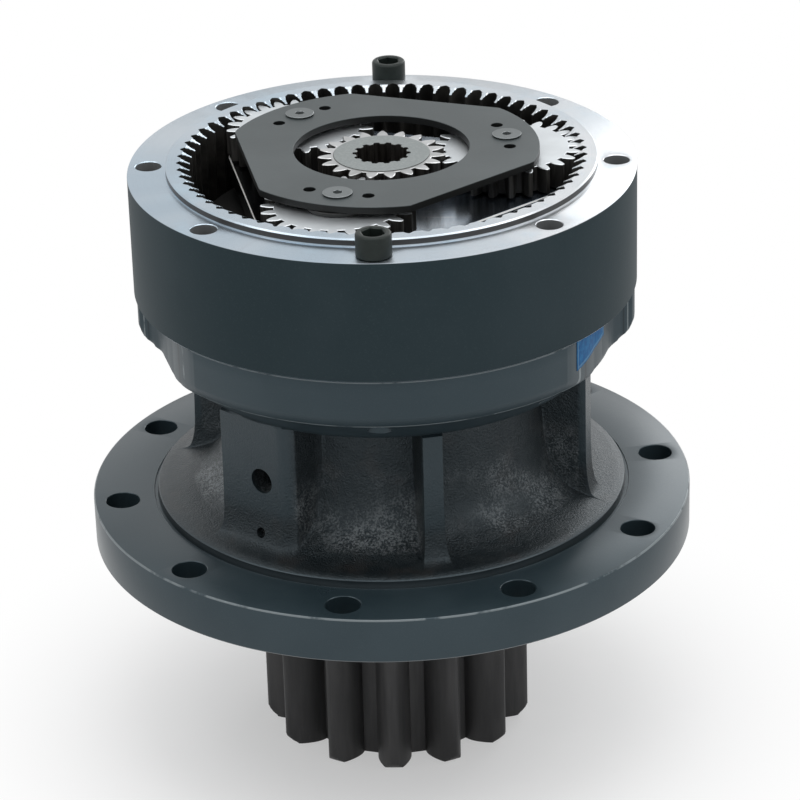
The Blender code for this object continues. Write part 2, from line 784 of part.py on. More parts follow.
# A carrier post fills the room between two planets. Along x, away from the axis, each side
# keeps clear of the planet beside it, so its width follows a circle round that planet.
def post_outline(distance, clear_radius, inner, outer, angle):
    planet_x = distance * math.cos(math.pi / planet_count)
    planet_y = distance * math.sin(math.pi / planet_count)
    side = []
    for step in range(post_steps + 1):
        x = inner + (outer - inner) * step / post_steps
        room = max(clear_radius ** 2 - (x - planet_x) ** 2, 0.0)
        side.append((x, min(planet_y - math.sqrt(room), planet_y * post_width_share)))
    outline = [(x, -y) for x, y in side] + [(x, y) for x, y in reversed(side)]
    cosine = math.cos(angle)
    sine = math.sin(angle)
    return [(x * cosine - y * sine, x * sine + y * cosine) for x, y in outline]


# Round plate with a flat between each two planets
def flatted_outline(radius, flat):
    half = math.acos(flat / radius)
    points = []
    for index in range(planet_count):
        middle = planet_1_angle + 2 * math.pi * index / planet_count
        reach = math.pi / planet_count - half
        points += [polar(radius, middle - reach + 2 * reach * step / plate_arc_steps)
                   for step in range(plate_arc_steps + 1)]
    return points


def make_carrier_2(parent):
    hub_bottom = upper_bearing_top + seat_gap
    hub = circle(lower_bearing_bore, mid_facets)
    bore = spline_outline(shaft_spline_teeth, shaft_spline_radius, spline_depth, seat_gap)
    recess = circle(keyed_recess, mid_facets)
    boss_top = carrier_2_top + boss_2_height
    rim = circle(carrier_2_radius, bore_facets)
    walls = [[(rim, carrier_2_bottom), (rim, carrier_2_top)], [(hub, hub_bottom), (hub, carrier_2_bottom)],
             [(bore, hub_bottom), (bore, keyed_floor)], [(recess, keyed_floor), (recess, carrier_2_top)]]
    for angle in planet_angles():
        centre = polar(planet_2_distance, angle)
        boss = circle(boss_2_radius, tiny_facets, centre)
        hole = circle(planet_2_pin + seat_gap, tiny_facets, centre)
        post = post_outline(planet_2_distance, planet_2_tip + planet_clearance,
                            sun_2_tip + 2 * sun_post_gap, post_2_reach, angle + math.pi / planet_count)
        walls += [[(boss, carrier_2_top), (boss, boss_top)], [(hole, carrier_2_bottom), (hole, boss_top)],
                  [(post, carrier_2_top), (post, post_2_top)]]
    levels = [hub_bottom, carrier_2_bottom, keyed_floor, carrier_2_top, boss_top, post_2_top]
    place("carrier_2", finish_mesh("carrier_2", solid(walls, levels), carrier_steel), parent)


def make_plate_2(parent):
    rim = circle(plate_2_radius, bore_facets)
    bore = circle(plate_2_bore, mid_facets)
    walls = [[(rim, plate_2_bottom), (rim, plate_2_top)], [(bore, plate_2_bottom), (bore, plate_2_top)]]
    spread = plate_2_thickness + screw_2_radius + 2 * seat_gap
    for angle in planet_angles():
        centre = polar(planet_2_distance, angle)
        walls.append([(circle(screw_2_radius + 2 * seat_gap, tiny_facets, centre), plate_2_bottom),
                      (circle(spread, tiny_facets, centre), plate_2_top)])
    mesh = solid(walls, [plate_2_bottom, plate_2_top])
    place("retainer_plate_2", finish_mesh("retainer_plate_2", mesh, phosphated), parent)


def make_carrier_1(parent):
    full = flatted_outline(carrier_1_radius, carrier_1_flat)
    edge = flatted_outline(carrier_1_radius - carrier_1_chamfer, carrier_1_flat - carrier_1_chamfer)
    bore = spline_outline(sun_2_spline_teeth, sun_2_spline_radius, sun_2_spline_depth, seat_gap)
    boss_top = carrier_1_top + boss_1_height
    walls = [[(full, carrier_1_bottom), (full, carrier_1_top - carrier_1_chamfer), (edge, carrier_1_top)],
             [(bore, carrier_1_bottom), (bore, carrier_1_top)]]
    for angle in planet_angles():
        centre = polar(planet_1_distance, angle)
        boss = circle(boss_1_radius, small_facets, centre)
        hole = circle(planet_1_pin + seat_gap, small_facets, centre)
        walls += [[(boss, carrier_1_top), (boss, boss_top)], [(hole, carrier_1_bottom), (hole, boss_top)]]
    mesh = solid(walls, [carrier_1_bottom, carrier_1_top, boss_top])
    place("carrier_1", finish_mesh("carrier_1", mesh, carrier_steel), parent)


def make_plate_1(parent):
    full = flatted_outline(plate_1_radius, plate_1_flat)
    edge = flatted_outline(plate_1_radius - plate_1_chamfer, plate_1_flat - plate_1_chamfer)
    bore = circle(plate_1_bore, bore_facets)
    walls = [[(full, plate_1_bottom), (full, plate_1_top - plate_1_chamfer), (edge, plate_1_top)],
             [(bore, plate_1_bottom), (bore, plate_1_top)]]
    cone_start = plate_1_top + screw_1_stand - (screw_1_head - screw_1_radius)
    slack = math.sqrt(2) * seat_gap
    for angle in planet_angles():
        centre = polar(planet_1_distance, angle)
        narrow = circle(screw_1_radius + slack, small_facets, centre)
        wide = circle(screw_1_radius + slack + plate_1_top - cone_start, small_facets, centre)
        walls.append([(narrow, plate_1_bottom), (narrow, cone_start), (wide, plate_1_top)])
        for side in (-1, 1):
            jack_place = polar(planet_1_distance, angle + side * jack_hole_angle)
            jack = circle(jack_hole_radius, tiny_facets, jack_place)
            walls.append([(jack, plate_1_bottom), (jack, plate_1_top)])
    mesh = solid(walls, [plate_1_bottom, plate_1_top])
    place("retainer_plate_1", finish_mesh("retainer_plate_1", mesh, phosphated), parent)


# Countersunk screw with a hexagon socket: 45 degree cone under a thin rim
def countersunk(radius, head, rim, cone_start, length, facets):
    cone_top = cone_start + head - radius
    top = cone_top + rim
    end = cone_start - length
    socket = hexagon(radius * screw_socket_share)
    socket_floor = top - radius * screw_socket_depth_share
    stem = [(circle(radius, facets), end), (circle(radius, facets), cone_start),
            (circle(head, facets), cone_top)]
    if rim > 0:
        stem.append((circle(head, facets), top))
    return solid([stem, [(socket, socket_floor), (socket, top)]], [end, socket_floor, top])


# Pin with a threaded hole for the plate's screw
def pin_mesh(radius, hole, bottom, top, hole_bottom, facets):
    outside = circle(radius, facets)
    inside = circle(hole, facets)
    walls = [[(outside, bottom), (outside, top)], [(inside, hole_bottom), (inside, top)]]
    return solid(walls, [bottom, hole_bottom, top])


# Turn of a planet so that one of its teeth fills a tooth space of the ring gear
def planet_turn(angle, teeth):
    return angle + (ring_space_angle - angle) * ring_teeth / teeth


# Turn of a sun so that one of its teeth fills a space of the planet at the given angle
def sun_turn(angle, planet_teeth, sun_teeth):
    pitch = 2 * math.pi / planet_teeth
    space = planet_turn(angle, planet_teeth) + pitch / 2 - (angle + math.pi)
    nearest = (space + pitch / 2) % pitch - pitch / 2
    return angle - nearest * planet_teeth / sun_teeth


def gear_radii(teeth, shift, relief, middle):
    root = gear_module * (teeth / 2 - tooth_dedendum + shift)
    tip = gear_module * (teeth / 2 + tooth_addendum + shift) - relief
    return [root, root + (tip - root) * flank_knee_share, tip] if middle else [root, tip]


def planet_mesh(teeth, bore_radius, bottom, top, facets):
    radii = gear_radii(teeth, 0.0, 0.0, False)
    outline = gear_outline(teeth, gear_module, 0.0, tooth_thinning, radii)
    bore = circle(bore_radius, facets)
    return solid([[(outline, bottom), (outline, top)], [(bore, bottom), (bore, top)]], [bottom, top])


def make_stage_1(carrier_axis):
    make_carrier_1(carrier_axis)
    make_plate_1(carrier_axis)
    bush_radius = planet_1_pin + seat_gap + bush_1_wall
    gear = planet_mesh(planet_1_teeth, bush_radius + seat_gap, planet_1_bottom, planet_1_top, small_facets)
    bush = tube(clear(planet_1_pin + seat_gap, small_facets), bush_radius, planet_1_bottom + seat_gap,
                planet_1_top - seat_gap, small_facets)
    washer = tube(planet_1_pin + seat_gap, washer_radius, planet_1_top + seat_gap, pin_1_top, small_facets)
    cone_start = plate_1_top + screw_1_stand - (screw_1_head - screw_1_radius)
    screw_end = cone_start - screw_1_length
    pin = pin_mesh(planet_1_pin, screw_1_radius + seat_gap, carrier_1_bottom + seat_gap, pin_1_top,
                   screw_end - thread_runout, small_facets)
    screw = countersunk(screw_1_radius, screw_1_head, screw_1_rim, cone_start, screw_1_length, small_facets)
    gear_data = finish_mesh("planet 1", gear, ground_steel)
    bush_data = finish_mesh("bush 1", bush, bronze)
    washer_data = finish_mesh("washer 1", washer, bearing_steel)
    pin_data = finish_mesh("pin 1", pin, bearing_steel)
    screw_data = finish_mesh("screw 1", screw, phosphated)
    for index, angle in enumerate(planet_angles(), start=1):
        centre = (*polar(planet_1_distance, angle), 0.0)
        turn = planet_turn(angle, planet_1_teeth)
        planet_axis = axis_empty("planet 1 axis " + str(index), carrier_axis, centre)
        place("planet_gear_1_" + str(index), gear_data, planet_axis, turn=turn)
        place("planet_bush_1_" + str(index), bush_data, planet_axis, turn=turn)
        place("planet_pin_1_" + str(index), pin_data, carrier_axis, centre)
        place("thrust_washer_1_" + str(index), washer_data, carrier_axis, centre)
        place("plate_screw_1_" + str(index), screw_data, carrier_axis, centre)


def make_stage_2(output_axis):
    make_carrier_2(output_axis)
    make_plate_2(output_axis)
    bush_radius = planet_2_pin + seat_gap + bush_2_wall
    gear = planet_mesh(planet_2_teeth, bush_radius + seat_gap, planet_2_bottom, planet_2_top, tiny_facets)
    bush = tube(clear(planet_2_pin + seat_gap, tiny_facets), bush_radius, planet_2_bottom + seat_gap,
                planet_2_top - seat_gap, tiny_facets)
    cone_start = plate_2_bottom - screw_2_sink
    head = screw_2_radius + plate_2_thickness
    screw = countersunk(screw_2_radius, head, 0.0, cone_start, screw_2_length, tiny_facets)
    pin = pin_mesh(planet_2_pin, screw_2_radius + 2 * seat_gap, carrier_2_bottom + seat_gap, post_2_top,
                   cone_start - screw_2_length - thread_runout, tiny_facets)
    gear_data = finish_mesh("planet 2", gear, ground_steel)
    bush_data = finish_mesh("bush 2", bush, bronze)
    screw_data = finish_mesh("screw 2", screw, black_oxide)
    pin_data = finish_mesh("pin 2", pin, bearing_steel)
    for index, angle in enumerate(planet_angles(), start=1):
        centre = (*polar(planet_2_distance, angle), 0.0)
        turn = planet_turn(angle, planet_2_teeth)
        planet_axis = axis_empty("planet 2 axis " + str(index), output_axis, centre)
        place("planet_gear_2_" + str(index), gear_data, planet_axis, turn=turn)
        place("planet_bush_2_" + str(index), bush_data, planet_axis, turn=turn)
        place("planet_pin_2_" + str(index), pin_data, output_axis, centre)
        place("plate_screw_2_" + str(index), screw_data, output_axis, centre)


def make_sun_2(carrier_axis):
    radii = gear_radii(sun_2_teeth, 0.0, 0.0, False)
    teeth = gear_outline(sun_2_teeth, gear_module, 0.0, tooth_thinning, radii,
                         sun_turn(planet_1_angle, planet_2_teeth, sun_2_teeth))
    collar = circle(sun_2_collar, mid_facets)
    spline = spline_outline(sun_2_spline_teeth, sun_2_spline_radius, sun_2_spline_depth)
    collar_top = carrier_1_bottom - seat_gap
    walls = [[(teeth, planet_2_bottom), (teeth, planet_2_top)],
             [(collar, planet_2_top), (collar, collar_top)],
             [(spline, collar_top), (spline, carrier_1_top - seat_gap)]]
    mesh = solid(walls, [planet_2_bottom, planet_2_top, collar_top, carrier_1_top - seat_gap])
    place("sun_gear_2", finish_mesh("sun_gear_2", mesh, matt_steel), carrier_axis)


def make_sun_1(sun_axis):
    radii = gear_radii(sun_1_teeth, sun_1_shift, sun_1_tip_relief, True)
    teeth = gear_outline(sun_1_teeth, gear_module, sun_1_shift, tooth_thinning, radii,
                         sun_turn(planet_1_angle, planet_1_teeth, sun_1_teeth))
    bottom = carrier_1_top + sun_1_play
    teeth_top = planet_1_top + sun_1_rise
    top = teeth_top + sun_1_hub_height
    hub = circle(sun_1_hub_radius, mid_facets)
    hub_edge = circle(sun_1_hub_radius - sun_1_hub_chamfer, mid_facets)
    bore = spline_outline(motor_spline_teeth, motor_spline_radius, motor_spline_depth)
    walls = [[(teeth, bottom), (teeth, teeth_top)],
             [(hub, teeth_top), (hub, top - sun_1_hub_chamfer), (hub_edge, top)],
             [(bore, bottom), (bore, top)]]
    mesh = solid(walls, [bottom, teeth_top, top])
    place("sun_gear_1", finish_mesh("sun_gear_1", mesh, matt_steel), sun_axis)


# The whole gearbox: fixed pieces first, then each turning group under the empty on its axis
output_axis = axis_empty("output axis")
carrier_1_axis = axis_empty("carrier 1 axis")
sun_1_axis = axis_empty("sun 1 axis")
lower_cage_axis = axis_empty("lower cage axis")
upper_cage_axis = axis_empty("upper cage axis")

make_casing()
make_ring_gear()
make_ring_screws()
make_dowels()
make_shaft_seal()
make_bearing("lower", lower_bearing_bore, lower_bearing_radius, lower_bearing_bottom, lower_bearing_top,
             lower_roller_count, output_axis, lower_cage_axis)
make_bearing("upper", upper_bearing_bore, upper_bearing_radius, upper_bearing_bottom, upper_bearing_top,
             upper_roller_count, output_axis, upper_cage_axis)
make_drive_shaft(output_axis)
make_shaft_rings(output_axis)
make_stage_2(output_axis)
make_sun_2(carrier_1_axis)
make_stage_1(carrier_1_axis)
make_sun_1(sun_1_axis)
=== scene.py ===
import json
import math

import bmesh
import bpy
import numpy as np
from mathutils import Matrix, Vector


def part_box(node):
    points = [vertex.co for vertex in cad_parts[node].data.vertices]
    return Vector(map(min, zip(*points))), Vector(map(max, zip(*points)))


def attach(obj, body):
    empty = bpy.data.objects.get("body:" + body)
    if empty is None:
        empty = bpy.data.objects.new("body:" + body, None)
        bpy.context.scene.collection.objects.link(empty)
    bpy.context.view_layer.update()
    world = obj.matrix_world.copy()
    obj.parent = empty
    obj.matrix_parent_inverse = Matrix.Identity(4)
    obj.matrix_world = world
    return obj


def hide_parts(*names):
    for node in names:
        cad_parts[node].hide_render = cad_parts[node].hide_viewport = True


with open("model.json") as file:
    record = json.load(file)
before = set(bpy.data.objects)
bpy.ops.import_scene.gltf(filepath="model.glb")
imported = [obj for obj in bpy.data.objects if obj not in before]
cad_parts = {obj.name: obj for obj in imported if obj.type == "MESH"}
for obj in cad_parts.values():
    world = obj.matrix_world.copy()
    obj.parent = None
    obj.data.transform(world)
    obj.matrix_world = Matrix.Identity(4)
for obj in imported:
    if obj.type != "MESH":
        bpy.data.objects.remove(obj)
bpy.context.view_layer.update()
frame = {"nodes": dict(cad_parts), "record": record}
mm = 0.001
turn = 2 * math.pi
closeBy = 1e-6  # nearer than this is the same place
print("frame loaded:", len(frame["nodes"]), "nodes")


# Points and meshes

# A dictionary of sizes that are written in mm
def inMm(**sizes):
    return {name: size * mm for name, size in sizes.items()}


# Points in a plane: (r cos t, r sin t)
def polarPoints(r, t):
    return np.stack([r * np.cos(t), r * np.sin(t)], axis=-1)


# Circle about a centre, anticlockwise from the start angle
def circlePoints(radius, count, centre=(0.0, 0.0), start=0.0):
    return polarPoints(radius, start + turn * np.arange(count) / count) + np.asarray(centre)


# One shape repeated round the axis: its angles are added to each of the centre angles
def repeatedRound(radii, angles, centres):
    t = (centres[:, None] + angles[None, :]).ravel()
    return polarPoints(np.tile(radii, len(centres)), t)


# Vectors divided by their lengths
def unitRows(vectors):
    return vectors / np.maximum(np.linalg.norm(vectors, axis=1, keepdims=True), 1e-9)


# Moves a closed outline along its own normals, outwards for a positive distance: a corner moves
# by distance / cos(half its bend)
def offsetOutline(points, distance):
    ahead = unitRows(np.roll(points, -1, axis=0) - points)
    behind = unitRows(points - np.roll(points, 1, axis=0))
    along = unitRows(ahead + behind)
    normal = np.stack([along[:, 1], -along[:, 0]], axis=1)
    cosine = np.clip((ahead * along).sum(axis=1, keepdims=True), 0.6, 1.0)
    return points + normal * distance / cosine


# The outline pushed out to a circle about the centre wherever it lies inside it
def openedOut(outline, radius, centre=(0.0, 0.0)):
    away = outline - np.asarray(centre)
    return away * np.maximum(1.0, radius / np.linalg.norm(away, axis=1, keepdims=True)) + np.asarray(centre)


# Profile points in mm, moved out to a radius and up to a height in metres
def shifted(points, radius=0.0, height=0.0):
    return [(radius + r * mm, height + z * mm) for r, z in points]


# Layers of a round wall: a circle at each (radius, height) of the profile
def roundWall(profile, count, centre=(0.0, 0.0), start=0.0):
    return [(circlePoints(radius, count, centre, start), height) for radius, height in profile]


# Layers of a straight round hole with a chamfer at both mouths
def holeWall(radius, bottom, top, chamfer, count, centre=(0.0, 0.0)):
    profile = [(radius + chamfer, bottom), (radius, bottom + chamfer),
               (radius, top - chamfer), (radius + chamfer, top)]
    return roundWall(profile, count, centre)


# Layers of an upright wall with a chamfer at both edges
def edgedWall(outline, bottom, top, edge):
    inset = offsetOutline(outline, -edge)
    return [(inset, bottom), (outline, bottom + edge), (outline, top - edge), (inset, top)]


# Quads between neighbours of a grid; the last column meets the first, and so may the last row
def gridFaces(rows, columns, start=0, wrapRows=False, wrapColumns=True):
    row, column = np.meshgrid(np.arange(rows if wrapRows else rows - 1),
                              np.arange(columns if wrapColumns else columns - 1), indexing="ij")
    nextRow = (row + 1) % rows
    nextColumn = (column + 1) % columns
    faces = np.stack([row * columns + column, row * columns + nextColumn,
                      nextRow * columns + nextColumn, nextRow * columns + column], axis=-1)
    return faces.reshape(-1, 4) + start


# Mesh with its faces outwards; on each level the open rims are filled with one flat face that
# leaves the holes open
def closedMesh(name, points, faces, levels=(), merge=True):
    data = bpy.data.meshes.new(name)
    data.from_pydata(points.tolist(), [], faces.tolist())
    work = bmesh.new()
    work.from_mesh(data)
    if merge:
        bmesh.ops.remove_doubles(work, verts=work.verts, dist=closeBy)
    for height in levels:
        rim = [edge for edge in work.edges if len(edge.link_faces) == 1
               and all(abs(vert.co.z - height) < closeBy for vert in edge.verts)]
        bmesh.ops.triangle_fill(work, use_beauty=True, use_dissolve=False, edges=rim)
    bmesh.ops.recalc_face_normals(work, faces=work.faces)
    work.to_mesh(data)
    work.free()
    return data


# Smooth shading, sharp where faces bend by more than an angle in degrees
def smoothShaded(data, angle):
    data.shade_smooth()
    data.set_sharp_from_angle(angle=math.radians(angle))


# An object of a mesh, in the scene's own collection
def linked(name, data, material=None):
    piece = bpy.data.objects.new(name, data)
    bpy.context.scene.collection.objects.link(piece)
    if material:
        data.materials.append(material)
    return piece


# A closed solid from walls, each a stack of outlines of one length at given heights
def wallSolid(name, material, walls, levels, sharp=28.0):
    points = []
    faces = []
    count = 0
    for layers in walls:
        grid = np.concatenate([np.column_stack([outline, np.full(len(outline), height)])
                               for outline, height in layers])
        faces.append(gridFaces(len(layers), len(layers[0][0]), count))
        points.append(grid)
        count += len(grid)
    data = closedMesh(name, np.concatenate(points), np.concatenate(faces), levels)
    smoothShaded(data, sharp)
    return linked(name, data, material)


# A closed profile of (radius, height) points turned once round a centre
def turnedSolid(name, material, profile, segments, centre, sharp=28.0):
    profile = np.array(profile)
    flat = polarPoints(profile[:, :1], turn * np.arange(segments) / segments) + np.asarray(centre)
    z = np.broadcast_to(profile[:, 1:], flat.shape[:2])
    points = np.concatenate([flat, z[..., None]], axis=-1).reshape(-1, 3)
    data = closedMesh(name, points, gridFaces(len(profile), segments, 0, True))
    smoothShaded(data, sharp)
    return linked(name, data, material)


# Cuts closed tools out of a piece and keeps only the result
def cutAway(piece, tools):
    for tool in tools:
        modifier = piece.modifiers.new("cut", "BOOLEAN")
        modifier.operation = "DIFFERENCE"
        modifier.solver = "EXACT"
        modifier.object = tool
    bpy.context.view_layer.update()
    evaluated = piece.evaluated_get(bpy.context.evaluated_depsgraph_get())
    data = bpy.data.meshes.new_from_object(evaluated)
    piece.modifiers.clear()
    piece.data = data
    for tool in tools:
        bpy.data.objects.remove(tool, do_unlink=True)


# Smooth maximum and minimum of a and b: within k of each other they meet in a fillet
def smoothMax(a, b, k):
    h = np.maximum(k - np.abs(a - b), 0.0) / k
    return np.maximum(a, b) + h * h * k / 4


def smoothMin(a, b, k):
    return -smoothMax(-a, -b, k)


# Shader nodes as expressions: a wrapped socket, whose sums and products are Math nodes

class Sock:
    tree = None  # the node tree that is being filled

    def __init__(self, socket):
        self.socket = socket

    # Another output of the same node
    def output(self, key):
        return Sock(self.socket.node.outputs[key])

    # A link for a wrapped socket, a plain value for anything else
    @classmethod
    def put(cls, value, socket):
        if isinstance(value, Sock):
            cls.tree.links.new(value.socket, socket)
        else:
            socket.default_value = value

    # Adds a node: its settings first, then its sockets by label, or by number as i0, i1
    @classmethod
    def node(cls, kind, settings=None, out=0, **values):
        made = cls.tree.nodes.new(kind)
        for key, value in (settings or {}).items():
            setattr(made, key, value)
        for key, value in values.items():
            byNumber = key[0] == "i" and key[1:].isdigit()
            cls.put(value, made.inputs[int(key[1:]) if byNumber else key.replace("_", " ")])
        return cls(made.outputs[out])

    @classmethod
    def math(cls, operation, *values):
        numbered = {"i" + str(index): value for index, value in enumerate(values)}
        return cls.node("ShaderNodeMath", {"operation": operation}, **numbered)

    def __add__(self, other):
        return Sock.math("ADD", self, other)

    def __radd__(self, other):
        return Sock.math("ADD", other, self)

    def __sub__(self, other):
        return Sock.math("SUBTRACT", self, other)

    def __rsub__(self, other):
        return Sock.math("SUBTRACT", other, self)

    def __mul__(self, other):
        return Sock.math("MULTIPLY", self, other)

    def __rmul__(self, other):
        return Sock.math("MULTIPLY", other, self)


# The largest and the smallest of several values
def largest(first, *others):
    for other in others:
        first = Sock.math("MAXIMUM", first, other)
    return first


def smallest(first, second):
    return Sock.math("MINIMUM", first, second)


# 0 up to low, 1 from high on, and 3t^2 - 2t^3 between them
def smoothStep(value, low, high):
    return Sock.node("ShaderNodeMapRange", {"interpolation_type": "SMOOTHSTEP"},
                     Value=value, From_Min=low, From_Max=high)


# Rises from start to full and falls again from fade to end
def between(value, start, full, fade, end):
    return smoothStep(value, start, full) * (1.0 - smoothStep(value, fade, end))


# smoothStep and between with their limits in mm over an origin
def upFrom(value, origin, low, high):
    return smoothStep(value, origin + low * mm, origin + high * mm)


def strip(value, origin, *limits):
    return between(value, *(origin + limit * mm for limit in limits))


# The x, y and z of a vector
def partsOf(vector):
    parts = Sock.node("ShaderNodeSeparateXYZ", i0=vector)
    return [parts.output(index) for index in range(3)]


# Coordinates of the object itself, in metres
def objectPlace():
    return Sock.node("ShaderNodeTexCoord", out="Object")


# Distance from the axis: the square root of x^2 + y^2
def lengthOf(x, y):
    return Sock.math("SQRT", x * x + y * y)


# Noise of a given number of cells per metre; a stretch below 1 draws it out along that axis
def noise(place, scale, detail, rough, stretch=None):
    if stretch:
        place = Sock.node("ShaderNodeMapping", Vector=place, Scale=stretch)
    return Sock.node("ShaderNodeTexNoise", Vector=place, Scale=scale, Detail=detail, Roughness=rough)


# From the first colour at factor 0 to the second at 1
def mixColour(factor, first, second):
    first, second = (c if isinstance(c, Sock) else (*c, 1.0) for c in (first, second))
    return Sock.node("ShaderNodeMix", {"data_type": "RGBA"}, 2, i0=factor, i6=first, i7=second)


# From the first colour to the second where a value rises from low to high
def blend(value, low, high, colours):
    return mixColour(smoothStep(value, low, high), *colours)


# A colour times a factor, up to white
def brighter(colour, factor):
    return tuple(min(1.0, c * factor) for c in colour)


def bumpOf(height, strength, distance):
    return Sock.node("ShaderNodeBump", Height=height, Strength=strength, Distance=distance)


# A material with its constant values; the varying ones come later through feed
def newMaterial(name, base, **values):
    material = bpy.data.materials.new(name)
    material.use_nodes = True
    Sock.tree = material.node_tree
    shader = material.node_tree.nodes["Principled BSDF"]
    feed(shader, Base_Color=(*base, 1.0), **values)
    return material, shader


# Sets or links the shader's sockets, by label
def feed(shader, **values):
    for key, value in values.items():
        Sock.put(value, shader.inputs[key.replace("_", " ")])


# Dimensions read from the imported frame

def nodeTop(node):
    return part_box(node)[1].z


def nodeBottom(node):
    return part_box(node)[0].z


def nodeHeights(node):
    return nodeBottom(node), nodeTop(node)


casingBottom, casingTop = nodeHeights("casing")
ringBottom, ringTop = nodeHeights("ring_gear")
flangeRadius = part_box("casing")[1].x
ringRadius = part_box("ring_gear")[1].x


# Gearing of the first stage

gearing = {
    "ringTeeth": 68,
    "ringSpace": math.radians(3.8),  # angle of the middle of one tooth space
    "planetTeeth": 24, "planetStart": math.radians(12.5), "planetCount": 3, "sunTeeth": 19,
    "sunShift": 0.54,
    **inMm(module=4.0, planetDistance=88.0, thinning=0.4),
}


# Involute tooth outline: half the tooth's angle at a radius is its half on the pitch circle, plus
# the involute of the pressure angle, less the involute at that radius. Points run root to tip,
# and the corner at the tip is rounded: the last point moves in along the tip.
def toothedOutline(teeth, module, shift, thinning, root, tip, start, steps, corner):
    pressure = math.radians(20)
    pitch = module * teeth / 2
    base = pitch * math.cos(pressure)
    half = math.pi / (2 * teeth) + 2 * shift * math.tan(pressure) / teeth - thinning / (2 * pitch)
    radii = root + (tip - root) * np.linspace(0, 1, steps)
    flank = np.arccos(np.minimum(1.0, base / radii))
    halves = half + (math.tan(pressure) - pressure) - (np.tan(flank) - flank)
    radii = np.concatenate([radii[:-1], [tip - corner * 0.35, tip]])
    last = halves[-1]
    halves = np.concatenate([halves[:-1], [last + corner * 0.02 / tip, last - corner / tip]])
    angles = np.concatenate([-halves, halves[::-1]])
    radii = np.concatenate([radii, radii[::-1]])
    return repeatedRound(radii, angles, start + turn * np.arange(teeth) / teeth)


# The planets stand evenly round the axis, from planetStart on
def planetAngles():
    return gearing["planetStart"] + turn * np.arange(gearing["planetCount"]) / gearing["planetCount"]


# Centre of a planet, counted from 1
def planetCentre(index):
    return polarPoints(gearing["planetDistance"], planetAngles()[index - 1])


# Angle of a planet's tooth: it fits the ring's space when the planet stands at the given angle
def planetTurn(angle):
    return angle + (gearing["ringSpace"] - angle) * gearing["ringTeeth"] / gearing["planetTeeth"]


# Angle of a sun's tooth: it points to the planet's space that is nearest the line of centres
def sunTurn(angle):
    pitch = turn / gearing["planetTeeth"]
    space = planetTurn(angle) + pitch / 2 - (angle + math.pi)
    nearest = (space + pitch / 2) % pitch - pitch / 2
    return angle - nearest * gearing["planetTeeth"] / gearing["sunTeeth"]


# Casing

casing = {
    "ribCount": 6, "ribStart": 283.6, "ribBesidePad": 5, "flareSpread": 0.45, "padAngle": 232.7,
    "padBevel": (math.radians(34), 130.3 * mm),  # its angle from the pad and its distance
    "holeCount": 10, "holeStart": 10.0, "boltCount": 8,
    "port": inMm(radius=9.0, end=113.0, offset=4.0, height=244.0), "portSides": 48,
    "drain": inMm(radius=3.6, end=131.0, offset=3.0, height=205.0), "drainSides": 32,
    **inMm(
        pilotRadius=150.0, flangeBottom=156.0, flangeTop=188.4, discRadius=166.3, baseTop=193.4,
        waist=112.5, coneFlare=14.0,
        coneFall=35.0,  # height over which the cone's flare falls to a third
        footFall=7.0, neckReach=20.0, neckRise=17.0, collarBottom=291.0, bandBottom=317.0,
        bandRadius=174.0, ribRadius=146.0, ribHalf=7.0, flare=7.5, flareFall=9.0, padDistance=143.0,
        padLeft=31.5, padRight=30.0, holeCircle=192.5, holeRadius=12.0, boltCircle=161.0,
        boltRadius=8.3,
    ),
}

# Turned profiles in mm: the collar over its bottom, the band over its bottom, the bores by height
collarPoints = [(140.0, -2.6), (144.2, -1.6), (146.0, 0.6), (151.0, 4.6), (157.0, 9.0), (163.0, 13.4),
                (168.0, 17.2), (170.2, 19.4)]
bandPoints = [(172.0, -3.4), (173.7, -0.4), (174.0, 1.0), (174.0, 9.0), (174.0, 18.0)]
borePoints = [(130.9, 319.6), (90.3, 319.6), (90.3, 269.7), (82.0, 269.7), (82.0, 234.4), (100.3, 234.4),
              (100.3, 172.0), (103.5, 172.0), (103.5, 167.7), (100.3, 167.7)]

# The band's reach in mm at degrees from the middle of a side: a lug for a bolt, then the pocket
lugReach = [(0, 174), (5.0, 174), (6.5, 172.5), (8.5, 165), (11.0, 159.8), (13.5, 158.7), (19.5, 158.5),
            (27.0, 161), (43.2, 173.4), (44.0, 174.2), (90, 174.2)]

fillets = inMm(rib=3.0, pad=2.0, waist=8.0, band=2.2)


# Distance from the axis to a convex outline given by its sides: along a ray, each side with its
# normal at angle a and distance d is met at d / cos(ray - a), and the nearest side counts
def rayToSides(theta, sides, fillet):
    level = 0.02  # a ray this near to a side's direction never meets it
    reach = None
    for angle, distance in sides:
        cosine = np.cos(theta - angle)
        met = np.where(cosine > level, distance / np.maximum(cosine, level), 60 * distance + 1.0)
        reach = met if reach is None else smoothMin(reach, met, fillet)
    return np.where(np.cos(theta - sides[0][0]) > level, reach, 0.0)


# Angles round the casing, denser where the ribs, the pad and the pockets have their edges: each
# edge adds gain * exp(-(away / width)^2) to the density, and the angles are even in its integral
def casingAngles(count):
    fine = np.linspace(0, 360, 7201)
    weight = np.ones_like(fine)
    pad = casing["padAngle"]
    sides = (-1, 1)
    edges = [(casing["ribStart"] + 60 * i + side * 3.1, 0.9, 9.0)
             for i in range(casing["ribCount"]) for side in sides]
    edges += [(pad - 13.4, 1.6, 7.0), (pad + 9.0, 1.2, 5.0), (pad + 12.4, 1.2, 7.0)]
    edges += [(middle + side * at, 2.0, 4.0) for middle in (0, 180) for side in sides for at in (7.0, 43.5)]
    for at, width, gain in edges:
        away = (fine - at + 180) % 360 - 180
        weight += gain * np.exp(-(away / width) ** 2)
    total = np.concatenate([[0], np.cumsum((weight[1:] + weight[:-1]) / 2)])
    wanted = np.linspace(0, total[-1], count, endpoint=False)
    return np.radians(np.interp(wanted, total, fine))


